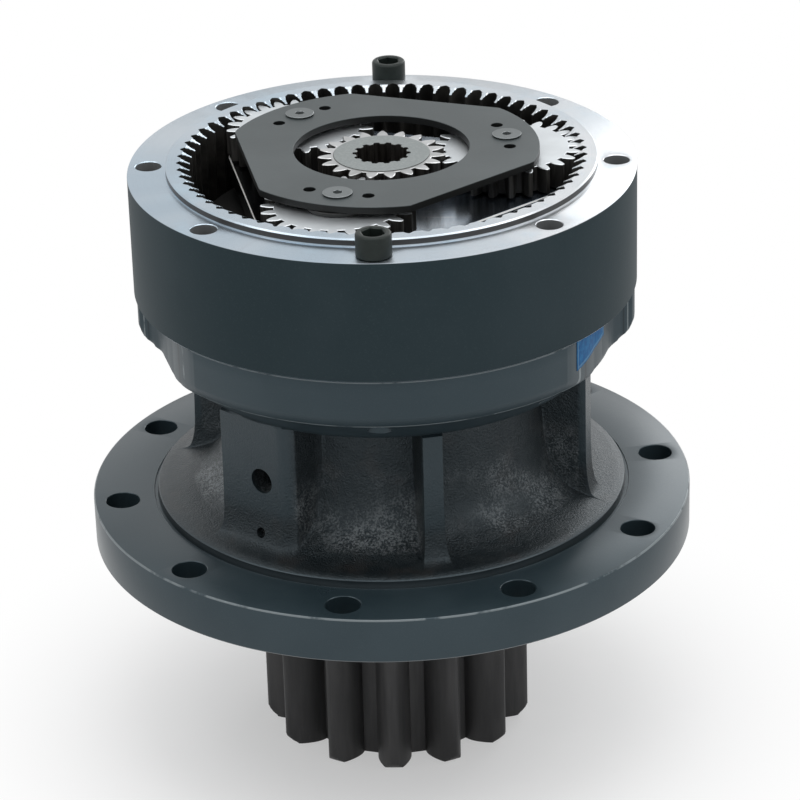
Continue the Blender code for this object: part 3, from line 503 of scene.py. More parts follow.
# Reach of the pocketed band: full on the front and rear, a flat and a round stretch inside it at
# the sides, and a lug for a bolt in the middle of each side
def bandReach(theta):
    away = np.degrees(np.abs((theta + math.pi / 2) % math.pi - math.pi / 2))
    at, radius = np.array(lugReach).T
    return np.interp(away, at, radius * mm)


# Profile of the flange, from the pilot up to the edge of the disc that the waist stands on
def flangeProfile():
    c = casing
    points = [(c["pilotRadius"], c["flangeBottom"])]
    points += shifted([(-1.2, 0.0), (0.0, 1.2)], flangeRadius, c["flangeBottom"])
    points += shifted([(0.0, -1.1), (-0.4, -0.4), (-1.1, 0.0)], flangeRadius, c["flangeTop"])
    points += shifted([(3.4, 0.0), (2.8, -1.1), (0.9, -1.1), (0.4, 0.0)], c["discRadius"], c["flangeTop"])
    return points + shifted([(0.2, -1.0), (-0.7, -0.1)], c["discRadius"], c["baseTop"])


# Profile of the waist at height h over its foot: waist + foot exp(-h / footFall)
# + coneFlare exp(-h / coneFall), then a quarter of an oval up to the collar
def waistProfile():
    c = casing
    rise = c["collarBottom"] - c["baseTop"]
    h = np.concatenate([np.linspace(0, 0.16, 16)[1:] ** 1.15, np.linspace(0.15, 0.8, 26)])
    h = np.unique(np.sort(h)) * rise
    foot = c["discRadius"] - c["waist"] - c["coneFlare"]
    wall = c["waist"] + foot * np.exp(-h / c["footFall"]) + c["coneFlare"] * np.exp(-h / c["coneFall"])
    waistPoints = np.stack([wall, c["baseTop"] + h], axis=1)
    t = np.linspace(0, math.pi / 2, 7)
    neck = np.stack([c["waist"] + c["neckReach"] * (1 - np.cos(t)),
                     c["collarBottom"] - c["neckReach"] + c["neckRise"] * np.sin(t)], axis=1)
    return waistPoints[1:].tolist() + neck[1:].tolist()


# How far the ribs and the pad stand out at each angle and height; their feet flare
def limbReach(theta, height):
    c = casing
    flare = c["flare"] * np.exp(-np.maximum(height - c["baseTop"], 0.0) / c["flareFall"])
    spread = c["flareSpread"] * flare
    quarter = math.pi / 2
    padAt = math.radians(c["padAngle"])
    padFront = (padAt, c["padDistance"] + flare)
    padSides = [padFront, (padAt - quarter, c["padLeft"]), (padAt + quarter, c["padRight"] + spread),
                (padAt + c["padBevel"][0], c["padBevel"][1] + flare)]
    limbs = rayToSides(theta, padSides, fillets["pad"])
    for i in range(c["ribCount"]):
        at = math.radians(c["ribStart"] + 60 * i)
        front = padFront if i == c["ribBesidePad"] else (at, c["ribRadius"] + flare)
        half = c["ribHalf"] + spread
        sides = [front, (at - quarter, half), (at + quarter, half)]
        limbs = np.maximum(limbs, rayToSides(theta, sides, fillets["rib"]))
    return limbs


# Skin of the casing: its profile turned round the axis, with ribs, pad and pockets blended in
def casingSkin():
    c = casing
    theta = casingAngles(760)
    outer = flangeProfile()
    collar = shifted(collarPoints, 0.0, c["collarBottom"]) + shifted(bandPoints, 0.0, c["bandBottom"])
    collar += shifted([(0.0, -0.8), (-0.8, 0.0)], c["bandRadius"], casingTop)
    waist = waistProfile()
    inner = shifted([(131.4, 0.0), (130.9, -0.6)], 0.0, casingTop) + shifted(borePoints)
    inner += shifted([(100.3, 1.0), (101.3, 0.0), (149.0, 0.0), (150.0, 1.0)], 0.0, casingBottom)
    profile = np.array(outer + waist + collar + inner)
    low = len(outer)
    high = low + len(waist) + len(collar)
    r = np.repeat(profile[:, :1], len(theta), axis=1)
    z = np.repeat(profile[:, 1:], len(theta), axis=1)
    height = z[low:high]
    fade = np.clip((c["collarBottom"] + 2 * mm - height) / (4 * mm), 0, 1)
    limbs = limbReach(theta[None, :], height) * fade
    skin = smoothMax(r[low:high], limbs, fillets["waist"])
    pocketed = smoothMin(skin, bandReach(theta)[None, :], fillets["band"])
    r[low:high] = np.where(height > c["collarBottom"] + 6 * mm, pocketed, skin)
    points = np.concatenate([polarPoints(r, theta), z[..., None]], axis=-1).reshape(-1, 3)
    data = closedMesh("casingSkin", points, gridFaces(len(profile), len(theta), 0, True), merge=False)
    return linked("casingSkin", data)


# Upright drill; where it leaves the face at chamferAt it opens out to a chamfer
def drillTool(radius, near, far, centre, count, chamferAt=None, chamfer=0.0):
    profile = [(radius, near)]
    if chamferAt is not None:
        profile += [(radius, chamferAt - chamfer), (radius + chamfer * 2, chamferAt + chamfer)]
    profile.append((radius + chamfer * 2, far))
    return wallSolid("drill", None, [roundWall(profile, count, centre)], [near, far])


# Level drill from outside to its end, at an angle round the axis
def sideDrill(plan, far, angle, count):
    near = plan["end"]
    wall = roundWall([(plan["radius"], near), (plan["radius"], far)], count)
    tool = wallSolid("drill", None, [wall], [near, far])
    lying = Matrix.Translation((0, plan["offset"], plan["height"])) @ Matrix.Rotation(math.pi / 2, 4, "Y")
    tool.data.transform(Matrix.Rotation(angle, 4, "Z") @ lying)
    return tool


# The skin, with the flange's and the collar's holes, the port and the drain cut out
def makeCasing(material):
    c = casing
    piece = casingSkin()
    tools = []
    past = 4 * mm  # the drills reach this far past the faces
    for i in range(c["holeCount"]):
        centre = polarPoints(c["holeCircle"], math.radians(c["holeStart"] + 360 / c["holeCount"] * i))
        tools.append(drillTool(c["holeRadius"], c["flangeBottom"] - past, c["flangeTop"] + past, centre, 48,
                               c["flangeTop"], 0.4 * mm))
    for i in range(c["boltCount"]):
        centre = polarPoints(c["boltCircle"], turn / c["boltCount"] * i)
        tools.append(drillTool(c["boltRadius"], c["collarBottom"], casingTop + past, centre, 40))
    outside = c["padDistance"] + 7 * mm
    for name in ("port", "drain"):
        tools.append(sideDrill(c[name], outside, math.radians(c["padAngle"]), c[name + "Sides"]))
    cutAway(piece, tools)
    smoothShaded(piece.data, 35)
    piece.data.materials.clear()
    piece.data.materials.append(material)
    piece.name = "casingBody"
    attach(piece, "housing")
    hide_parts("casing")
    print("casing:", len(piece.data.polygons), "faces")


# Ring gear with spigot

ring = {
    "mouthShare": 0.43,  # half a space's width at the bore, as a share of the pitch
    **inMm(
        face=429.0, spigot=148.5, tip=132.0, root=141.2, lead=138.3, leadStart=431.5,
        holeRadius=9.0, holeEdge=0.5,
    ),
}


# Tooth spaces of the ring: each is an arch, widest at the bore and round at the root; its half
# width is mouthShare * pitch * (1 - rise^2.1)^0.8, with rise from 0 at the bore to 1 at the root
def archedSpaces(steps=12):
    rise = np.sin(np.linspace(0, math.pi / 2, steps))
    radii = ring["tip"] + (ring["root"] - ring["tip"]) * rise
    pitch = turn / gearing["ringTeeth"]
    halves = ring["mouthShare"] * pitch * np.maximum(1 - rise ** 2.1, 0.0) ** 0.8
    angles = np.concatenate([-halves, halves[-2::-1]])
    radii = np.concatenate([radii, radii[-2::-1]])
    return repeatedRound(radii, angles, gearing["ringSpace"] + pitch * np.arange(gearing["ringTeeth"]))


# Turned outer wall and spigot, eight holes, and teeth whose upper ends open out to a cone
def makeRing(material):
    face, spigot, tip = ring["face"], ring["spigot"], ring["tip"]
    outside = shifted([(-0.9, 0.0), (0.0, 0.9)], ringRadius, ringBottom)
    outside += shifted([(0.0, -0.7), (-0.2, -0.2), (-0.7, 0.0)], ringRadius, face)
    collar = shifted([(0.9, 0.0), (0.2, 0.2), (0.0, 0.9)], spigot, face)
    collar += shifted([(0.0, -1.0), (-1.0, 0.0)], spigot, ringTop)
    space = archedSpaces()
    teeth = [(openedOut(space, tip + 1.2 * mm), ringBottom), (space, ringBottom + 0.8 * mm),
             (space, ring["leadStart"])]
    teeth += [(openedOut(space, tip + (ring["lead"] - tip) * share),
               ring["leadStart"] + (ringTop - ring["leadStart"]) * share) for share in (0.33, 0.66, 1.0)]
    walls = [roundWall(outside, 288), roundWall(collar, 288), teeth]
    for i in range(casing["boltCount"]):
        centre = polarPoints(casing["boltCircle"], turn / casing["boltCount"] * i)
        walls.append(holeWall(ring["holeRadius"], ringBottom, face, ring["holeEdge"], 56, centre))
    piece = wallSolid("ringBody", material, walls, [ringBottom, face, ringTop], 24)
    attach(piece, "housing")
    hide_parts("ring_gear")
    print("ring:", len(piece.data.polygons), "faces")


# Socket head screws that hold ring and casing together

screw = inMm(
    shankRadius=8.0, headRadius=12.0, headHeight=16.0, socketAcross=14.0, socketDepth=9.0,
    socketMouth=8.4,
    pointDepth=2.4,  # drill point below the socket's floor
)


# Hexagon: the radius is half the width across flats over the cosine of the angle from a flat
def hexOutline(across, centre, start, count=48):
    t = start + turn * np.arange(count) / count
    away = (t - start + math.pi / 6) % (math.pi / 3) - math.pi / 6
    return polarPoints(across / 2 / np.cos(away), t) + np.asarray(centre)


# Shank and head turned from their profiles, with a hexagon socket over a drill point
def makeRingScrew(node, material, spin):
    low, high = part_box(node)
    centre = np.array([(low.x + high.x) / 2, (low.y + high.y) / 2])
    under = high.z - screw["headHeight"]
    floor = high.z - screw["socketDepth"]
    point = floor - screw["pointDepth"]
    shank = shifted([(-0.5, 0.0), (0.0, 0.8)], screw["shankRadius"], low.z)
    shank += shifted([(0.0, -0.5), (0.6, 0.0)], screw["shankRadius"], under)
    head = shifted([(-0.6, 0.0), (0.0, 0.5)], screw["headRadius"], under)
    head += shifted([(0.0, -1.7), (-0.35, -0.8), (-1.0, -0.2), (-1.8, 0.0)], screw["headRadius"], high.z)
    socket = hexOutline(screw["socketAcross"], centre, spin)
    bottom = roundWall([(0.6 * mm, point), (5.6 * mm, floor - 0.2 * mm)], 48, centre, spin)
    mouth = openedOut(socket, screw["socketMouth"], centre)
    walls = [roundWall(shank, 64, centre), roundWall(head, 64, centre),
             bottom + [(socket, floor), (socket, high.z - 0.9 * mm), (mouth, high.z)]]
    piece = wallSolid(node + "Body", material, walls, [low.z, under, point, high.z], 30)
    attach(piece, "housing")
    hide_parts(node)


# First stage: retainer plate with its screws, washers, planets, carrier and sun

plate1 = {
    "jackAngle": math.radians(13.7),
    **inMm(
        arc=108.5, flat=93.3, bore=60.5, edge=0.25, screwHole=5.5, coneRadius=9.8, coneStart=0.9,
        jackRadius=4.2, jackEdge=0.15,
    ),
}


# Round outline with a flat between each two planets: the radius is the arc's, or the flat's
# distance over the cosine of the angle from its middle where that is less
def flattedPlate(arc, flat, count=240):
    t = turn * np.arange(count) / count
    away = (t - gearing["planetStart"]) % (turn / 3) - turn / 6
    return polarPoints(np.minimum(arc, flat / np.cos(away)), t)


# Flatted plate with a bore; over each planet a countersunk seat and two jack holes
def makePlate1(material):
    p = plate1
    bottom, top = nodeHeights("retainer_plate_1")
    outline = flattedPlate(p["arc"], p["flat"])
    walls = [edgedWall(outline, bottom, top, p["edge"]), holeWall(p["bore"], bottom, top, p["edge"], 160)]
    for angle in planetAngles():
        centre = polarPoints(gearing["planetDistance"], angle)
        seat = [(p["screwHole"], bottom), (p["screwHole"], bottom + p["coneStart"]), (p["coneRadius"], top)]
        walls.append(roundWall(seat, 48, centre))
        for side in (-1, 1):
            jack = polarPoints(gearing["planetDistance"], angle + side * p["jackAngle"])
            walls.append(holeWall(p["jackRadius"], bottom, top, p["jackEdge"], 32, jack))
    piece = wallSolid("plate1Body", material, walls, [bottom, top])
    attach(piece, "carrier_1")
    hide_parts("retainer_plate_1")


plateScrew = inMm(
    shankRadius=5.0, headRadius=10.0,
    headEdge=0.8,  # height of the head's outer edge
    coneDepth=5.0, socketAcross=6.0, socketDepth=3.6, socketMouth=3.5,
)


# Shank, cone and head turned from one profile, with a hexagon socket
def makePlateScrew1(index, material):
    p = plateScrew
    node = "plate_screw_1_" + str(index)
    bottom, top = nodeHeights(node)
    centre = planetCentre(index)
    coneTop = top - p["headEdge"]
    outside = shifted([(-0.6, 0.0), (0.0, 0.7)], p["shankRadius"], bottom)
    outside.append((p["shankRadius"], coneTop - p["coneDepth"]))
    outside += shifted([(-0.25, -0.1), (0.0, 0.2)], p["headRadius"], coneTop)
    outside += shifted([(0.0, -0.25), (-0.3, 0.0)], p["headRadius"], top)
    socket = hexOutline(p["socketAcross"], centre, 0.35 + 0.6 * index)  # each screw stopped elsewhere
    floor = top - p["socketDepth"]
    mouth = openedOut(socket, p["socketMouth"], centre)
    walls = [roundWall(outside, 56, centre), [(socket, floor), (socket, top - 0.4 * mm), (mouth, top)]]
    piece = wallSolid("plateScrew1Body" + str(index), material, walls, [bottom, floor, top])
    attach(piece, "carrier_1")
    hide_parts(node)


washer = inMm(inner=13.3, outer=22.3, edge=0.3)


# A rectangle with cut corners turned round the planet's centre
def makeWasher(index, material):
    node = "thrust_washer_1_" + str(index)
    bottom, top = nodeHeights(node)
    inner, outer, edge = washer["inner"], washer["outer"], washer["edge"]
    profile = [(inner, bottom + edge), (inner + edge, bottom), (outer - edge, bottom), (outer, bottom + edge),
               (outer, top - edge), (outer - edge, top), (inner + edge, top), (inner, top - edge)]
    piece = turnedSolid("washer1Body" + str(index), material, profile, 72, planetCentre(index))
    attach(piece, "carrier_1")
    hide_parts(node)


planet1 = inMm(root=43.0, tip=52.0, edge=0.45, bore=17.3, boreEdge=0.6)


# Toothed wall with a chamfer at both edges, round a bore
def makePlanet1(index, material):
    g = gearing
    p = planet1
    node = "planet_gear_1_" + str(index)
    bottom, top = nodeHeights(node)
    centre = planetCentre(index)
    teeth = toothedOutline(g["planetTeeth"], g["module"], 0.0, g["thinning"], p["root"], p["tip"],
                           planetTurn(planetAngles()[index - 1]), 9, p["edge"])
    walls = [[(points + centre, height) for points, height in edgedWall(teeth, bottom, top, p["edge"])],
             holeWall(p["bore"], bottom, top, p["boreEdge"], 72, centre)]
    piece = wallSolid("planet1Body" + str(index), material, walls, [bottom, top], 24)
    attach(piece, "planet_1_" + str(index))
    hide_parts(node)


carrier1 = inMm(
    arc=126.0, flat=95.5, lowEdge=0.8, topEdge=1.0, bore=28.4,
    underPlanet=1.5,  # from the planets down to the plate
    bossRadius=19.5, bossHeight=1.2, bossEdge=0.3, pinHole=13.3,
)


# Flatted plate with a round boss and a pin hole at each planet
def makeCarrier1(material):
    p = carrier1
    bottom = nodeBottom("carrier_1")
    plateTop = nodeBottom("planet_gear_1_1") - p["underPlanet"]
    bossTop = plateTop + p["bossHeight"]
    outline = flattedPlate(p["arc"], p["flat"])
    walls = [[(offsetOutline(outline, -p["lowEdge"]), bottom), (outline, bottom + p["lowEdge"]),
              (outline, plateTop - p["topEdge"]), (offsetOutline(outline, -p["topEdge"]), plateTop)],
             holeWall(p["bore"], bottom, plateTop, p["lowEdge"], 96)]
    boss = [(p["bossRadius"], plateTop), (p["bossRadius"], bossTop - p["bossEdge"]),
            (p["bossRadius"] - p["bossEdge"], bossTop)]
    for index in (1, 2, 3):
        centre = planetCentre(index)
        walls.append(roundWall(boss, 64, centre))
        walls.append(roundWall([(p["pinHole"], bottom), (p["pinHole"], bossTop)], 48, centre))
    piece = wallSolid("carrier1Body", material, walls, [bottom, plateTop, bossTop])
    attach(piece, "carrier_1")
    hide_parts("carrier_1")


sun1 = {
    "splineTeeth": 14,
    **inMm(
        hubHeight=0.6, hubRadius=33.2, tipCut=0.2, edge=0.4, splineTip=20.0, splineDepth=2.5,
        splineMouth=17.9,
    ),
}


# Splined bore: each space rises and falls over a few shares of the pitch, with its corners cut
def splineOutline(teeth, tip, depth):
    pitch = turn / teeth
    angles = np.array([0.16, 0.20, 0.30, 0.34]) * pitch
    radii = tip - depth * np.array([0.0, 0.15, 0.85, 1.0])
    angles = np.concatenate([-angles[::-1], angles])
    return repeatedRound(np.concatenate([radii[::-1], radii]), angles, pitch * np.arange(teeth))


# Toothed wall up to the hub's foot, the round hub above it and a splined bore
def makeSun1(material):
    g = gearing
    p = sun1
    bottom, top = nodeHeights("sun_gear_1")
    teethTop = top - p["hubHeight"]
    root = g["module"] * (g["sunTeeth"] / 2 - 1.25 + g["sunShift"])
    tip = g["module"] * (g["sunTeeth"] / 2 + 1 + g["sunShift"]) - p["tipCut"]
    teeth = toothedOutline(g["sunTeeth"], g["module"], g["sunShift"], g["thinning"], root, tip,
                           sunTurn(g["planetStart"]), 9, p["edge"])
    bore = splineOutline(p["splineTeeth"], p["splineTip"], p["splineDepth"])
    hub = [(p["hubRadius"], teethTop)] + shifted([(-0.2, -0.2), (-0.5, 0.0)], p["hubRadius"], top)
    walls = [edgedWall(teeth, bottom, teethTop, p["edge"]), roundWall(hub, 128),
             [(bore, bottom), (bore, top - p["edge"]), (openedOut(bore, p["splineMouth"]), top)]]
    piece = wallSolid("sun1Body", material, walls, [bottom, teethTop, top], 24)
    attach(piece, "sun_1")
    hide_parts("sun_gear_1")


# Plate of the second stage, the floor inside the ring

plate2 = inMm(radius=130.0, bore=50.0, edge=0.6, screwCircle=90.0, screwHole=6.6, coneRadius=12.3)


# Round plate with a bore and a countersunk hole for each planet's screw
def makePlate2(material):
    p = plate2
    bottom, top = nodeHeights("retainer_plate_2")
    walls = [edgedWall(circlePoints(p["radius"], 240), bottom, top, p["edge"]),
             holeWall(p["bore"], bottom, top, p["edge"], 120)]
    for angle in planetAngles():
        seat = [(p["screwHole"], bottom), (p["coneRadius"], top)]
        walls.append(roundWall(seat, 48, polarPoints(p["screwCircle"], angle)))
    piece = wallSolid("plate2Body", material, walls, [bottom, top])
    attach(piece, "output")
    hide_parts("retainer_plate_2")


# Output pinion with the shaft above it

pinion = {
    "teeth": 13, "shift": 0.5, "start": math.radians(269.6),
    **inMm(
        module=12.0, top=126.0, rootRaise=1.2, tipRound=1.6, chamfer=6.5, centreDepth=14.0,
    ),
}

# Radius and height of the shaft's steps, in mm
shaftSteps = [(68.5, 126.0), (68.5, 171.7), (59.7, 171.7), (59.7, 233.0), (56.0, 233.0), (56.0, 269.4),
              (49.7, 269.4), (49.7, 315.0), (42.0, 315.0), (42.0, 334.3), (38.8, 334.3), (38.8, 338.1),
              (41.0, 338.1), (42.0, 339.4)]


# Toothed wall whose ends are cut back to circles below the tips, with shaft and centre hole
def makePinion(material):
    p = pinion
    root = p["module"] * (p["teeth"] / 2 - 1.25 + p["shift"]) + p["rootRaise"]
    tip = p["module"] * (p["teeth"] / 2 + 1 + p["shift"])
    outline = toothedOutline(p["teeth"], p["module"], p["shift"], 0.0, root, tip,
                             p["start"], 14, p["tipRound"])
    radius = np.linalg.norm(outline, axis=1, keepdims=True)

    # The outline cut back to a circle below the tips
    def turnedDown(cut):
        return outline * np.minimum(radius, tip - cut) / radius

    c = p["chamfer"]
    rounding = [(0.95, 0.0), (0.5, 0.38), (0.2, 0.72)]  # shares of the chamfer: inwards and upwards
    layers = [(turnedDown(c * inwards), c * up) for inwards, up in rounding]
    layers += [(outline, c * 1.1), (outline, p["top"] - c * 1.1)]
    layers += [(turnedDown(c * inwards), p["top"] - c * up) for inwards, up in rounding[::-1]]
    shaftTop = nodeTop("drive_shaft")
    shaft = shifted(shaftSteps) + [(41.0 * mm, shaftTop)]
    centreHole = [(2.0 * mm, p["centreDepth"]), (4.0 * mm, 10.0 * mm), (8.0 * mm, 0.0)]
    walls = [layers, roundWall(shaft, 96), roundWall(centreHole, 40)]
    piece = wallSolid("pinionBody", material, walls, [0.0, p["centreDepth"], p["top"], shaftTop], 30)
    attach(piece, "output")
    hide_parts("drive_shaft")


# Plain label in the pocket at the right, a thin sheet bent to the pocket's flat

label = {
    "start": 320.2, "end": 341.5, "rows": 12, "columns": 40,
    **inMm(
        bottom=320.5, top=342.5, lift=0.35, thickness=0.3,
    ),
}


# The band's own surface moved out by the lift, on a grid of angle and height
def makeLabel(material):
    rows, columns = label["rows"], label["columns"]
    theta = np.radians(np.linspace(label["start"], label["end"], columns))
    heights = np.linspace(label["bottom"], label["top"], rows)
    r = smoothMin(np.full_like(theta, casing["bandRadius"]), bandReach(theta), fillets["band"])
    flat = np.broadcast_to(polarPoints(r + label["lift"], theta), (rows, columns, 2))
    z = np.broadcast_to(heights[:, None, None], (rows, columns, 1))
    points = np.concatenate([flat, z], axis=-1).reshape(-1, 3)
    faces = gridFaces(rows, columns, wrapColumns=False)
    data = bpy.data.meshes.new("labelSheet")
    data.from_pydata(points.tolist(), [], faces.tolist())
    uv = data.uv_layers.new(name="UVMap")
    u = np.tile(np.linspace(0, 1, columns), rows)
    v = np.repeat(np.linspace(0, 1, rows), columns)
    corners = faces.ravel()
    uv.data.foreach_set("uv", np.stack([u[corners], v[corners]], axis=1).ravel())
    piece = linked("labelSheet", data, material)
    data.shade_smooth()
    solid = piece.modifiers.new("thickness", "SOLIDIFY")
    solid.thickness = label["thickness"]
    solid.offset = -1.0
    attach(piece, "housing")


# Materials

castLook = {
    "base": (0.03, 0.04, 0.045),
    "tint": (0.74, 0.90, 1.0, 1.0),
    "paint": [(0.019, 0.032, 0.039), (0.027, 0.042, 0.050)],
    "dust": (0.060, 0.075, 0.082),
    "casting": [(0.004, 0.006, 0.007), (0.015, 0.018, 0.019)],
    "rust": (0.026, 0.020, 0.017),
    # painted highlight: pale glints on the slope
    "paintedGlint": (0.24, 0.26, 0.27),
    # painted shade in the groove round the disc
    "groove": (0.006, 0.008, 0.009),
    # bare metal of worn edges, also a painted highlight along the edge lines
    "bareAndHighlight": (0.26, 0.29, 0.30),
    "bumpHeight": 1.6 * mm,
}


# Slate paint on the machined faces; black, rough and glossy where the casting was left as poured, with
# painted highlights as pale glints on the slope above the foot;
# painted shade in the groove round the disc; bare metal shows on the turned edges, worn there and also
# standing in for their highlight lines
def castPaint():
    look = castLook
    material, shader = newMaterial("casting paint", look["base"], IOR=1.52, Specular_Tint=look["tint"])
    place = objectPlace()
    x, y, z = partsOf(place)
    r = lengthOf(x, y)
    disc, base = casing["discRadius"], casing["baseTop"]
    collar, top = casing["collarBottom"], casing["flangeTop"]
    grain = noise(place, 700.0, 5.0, 0.6)
    coarse = noise(place, 120.0, 5.0, 0.62)
    broad = noise(place, 16.0, 3.0, 0.5)
    fine = noise(place, 1500.0, 2.0, 0.5)
    patches = noise(place, 34.0, 4.0, 0.6)
    chips = noise(place, 40.0, 4.0, 0.6)

    cast = upFrom(z, base, -2.9, 0.1) * (1.0 - upFrom(z, collar, -0.5, 1.5))
    cast = cast * (1.0 - upFrom(r, disc, -1.1, 0.5))
    onFront = upFrom(r, casing["padDistance"], -3.5, -0.5)
    cast = cast * (1.0 - onFront * upFrom(z, base, 18.6, 32.6) * 0.6)
    slope = strip(z, base, 2.6, 10.6, 28.6, 62.6) * (1.0 - onFront)
    # worn bare edges on the flange rim, the groove's lip and the band's top, also painted highlight lines
    rim = upFrom(r, flangeRadius, -1.15, -0.85) * upFrom(z, top, -1.3, -1.1)
    # painted shade: the groove and the disc's foot are darkened
    groove = strip(r, disc, -0.2, 0.0, 0.8, 1.0) * upFrom(z, top, -1.4, -0.9)
    lip = strip(r, disc, 2.6, 2.8, 3.4, 3.6) * upFrom(z, top, -1.6, -1.2)
    band = upFrom(z, casingTop, -0.9, -0.7)
    bareAndHighlight = largest(rim, lip, band) * smoothStep(chips, 0.36, 0.50)

    smooth = blend(broad, 0.35, 0.7, look["paint"])
    smooth = mixColour(smoothStep(fine, 0.55, 0.75) * 0.35, smooth, look["dust"])
    rough = blend(coarse, 0.4, 0.75, look["casting"])
    rough = mixColour(smoothStep(patches, 0.52, 0.70) * 0.45, rough, look["rust"])
    # painted highlights: pale glints painted on the slope between the ribs
    paintedGlint = smoothStep(grain * 0.7 + coarse * 0.3, 0.44, 0.60) * smoothStep(broad, 0.34, 0.56) * slope
    rough = mixColour(paintedGlint * 0.8, rough, look["paintedGlint"])
    colour = mixColour(cast, smooth, rough)
    colour = mixColour(groove * 0.8, colour, look["groove"])
    colour = mixColour(bareAndHighlight * 0.75, colour, look["bareAndHighlight"])
    onRise = upFrom(z, base, 1.1, 6.6)
    onBand = upFrom(z, collar, -3.0, 1.0)
    bump = bumpOf(grain * 0.6 + coarse * 0.4, cast * (0.4 + 0.54 * onRise) + 0.04, look["bumpHeight"])
    roughness = 0.25 + 0.08 * broad + cast * (0.08 - 0.10 * paintedGlint) + 0.2 * onBand
    feed(shader, Base_Color=colour, Roughness=roughness, Normal=bump)
    return material


ringLook = {
    "base": (0.5, 0.5, 0.5),
    # the two ends of the painted reflection across the face
    "steel": [(0.36, 0.44, 0.51), (0.66, 0.68, 0.70)],
    # painted reflection: faint dark rays round the axis
    "rays": (0.24, 0.22, 0.24),
    # painted reflection of a pale blue sky, in patches
    "skyReflection": (0.42, 0.56, 0.66),
    # painted shade on the spigot's wall
    "step": (0.080, 0.080, 0.081),
    "hole": (0.24, 0.25, 0.255),
    # painted shade on the tooth flanks
    "flank": [(0.032, 0.032, 0.031), (0.085, 0.082, 0.076)],
    "paint": [(0.020, 0.036, 0.043), (0.028, 0.045, 0.053)],
    "dust": (0.07, 0.10, 0.11),
    "leadSlope": 0.524,  # rise of the dark flanks' upper edge per radius
    "flankTop": 434.5 * mm,
    "turningMarks": 2600.0,
}


# Turned steel: its tint is a painted reflection that changes round the axis and is lighter towards the right,
# with patches of painted pale blue sky reflection and faint painted dark rays;
# its gloss changes along fine rings. Painted shade darkens the tooth flanks and the spigot's wall; the holes
# are dark, the outer wall is painted
def ringSteel():
    look = ringLook
    material, shader = newMaterial("ring steel", look["base"], Specular_IOR_Level=0.15)
    place = objectPlace()
    x, y, z = partsOf(place)
    r = lengthOf(x, y)
    face = ring["face"]
    side = upFrom(r, ringRadius, -0.75, -0.45)
    side = side * upFrom(z, ringBottom, 0.7, 1.0) * (1.0 - upFrom(z, face, -0.6, -0.3))
    bore = 1.0 - upFrom(r, ring["root"], 0.2, 0.6)
    lead = smallest(ring["leadStart"] - 0.5 * mm + (r - ring["tip"]) * look["leadSlope"], look["flankTop"])
    # painted shade: the tooth flanks below the lead-in are darkened
    flank = bore * (1.0 - upFrom(z - lead, 0.0, 0.0, 0.2))
    hole = strip(r, casing["boltCircle"], -11.5, -10.5, 10.2, 11.2) * (1.0 - upFrom(z, face, -0.7, -0.5))
    # painted shade: the spigot's wall is darkened
    step = strip(r, ring["spigot"], -0.7, -0.2, 0.2, 0.7) * strip(z, face, 1.0, 1.2, 4.7, 4.9)

    flat = Sock.node("ShaderNodeVectorMath", {"operation": "MULTIPLY"}, i0=place, i1=(1.0, 1.0, 0.0))
    aim = Sock.node("ShaderNodeVectorMath", {"operation": "NORMALIZE"}, i0=flat)
    sector = noise(aim, 1.6, 3.0, 0.5)
    rays = noise(aim, 26.0, 4.0, 0.6)
    broad = noise(place, 9.0, 3.0, 0.5)
    blotches = noise(place, 28.0, 5.0, 0.6)
    specks = noise(place, 900.0, 2.0, 0.5)
    rings = Sock.node("ShaderNodeTexNoise", {"noise_dimensions": "1D"},
                      W=r * look["turningMarks"], Detail=2.0)
    # painted reflection: lighter towards the right and changing round the axis
    paintedLitSide = smoothStep(x * 0.95 + y * 0.2, -0.12, 0.12)
    paintedReflection = paintedLitSide * 0.55 + smoothStep(sector, 0.3, 0.7) * 0.45

    steel = mixColour(paintedReflection, *look["steel"])
    steel = mixColour(smoothStep(rays, 0.5, 0.8) * 0.12, steel, look["rays"])
    steel = mixColour(smoothStep(blotches, 0.5, 0.75) * 0.45, steel, look["skyReflection"])
    steel = mixColour(step, steel, look["step"])
    steel = mixColour(hole, steel, look["hole"])
    # painted shade for the tooth flanks
    flankShade = blend(blotches, 0.4, 0.7, look["flank"])
    paint = blend(broad, 0.35, 0.7, look["paint"])
    paint = mixColour(smoothStep(specks, 0.55, 0.8) * 0.25, paint, look["dust"])
    colour = mixColour(side, mixColour(flank, steel, flankShade), paint)
    metallic = (1.0 - side) * (1.0 - flank * 0.35) * (1.0 - hole * 0.8) * (1.0 - step * 0.9)
    roughness = 0.24 + 0.10 * rings + side * 0.26 + flank * 0.12
    bump = bumpOf(rings + blotches * 0.3, 0.12, 0.2 * mm)
    feed(shader, Base_Color=colour, Roughness=roughness, Metallic=metallic, Normal=bump)
    return material


# painted shade for walls below a plate's top
wallShade = (0.004, 0.005, 0.005)
# painted highlight on a screw head's rounded rim
rimHighlight = (0.32, 0.35, 0.36)


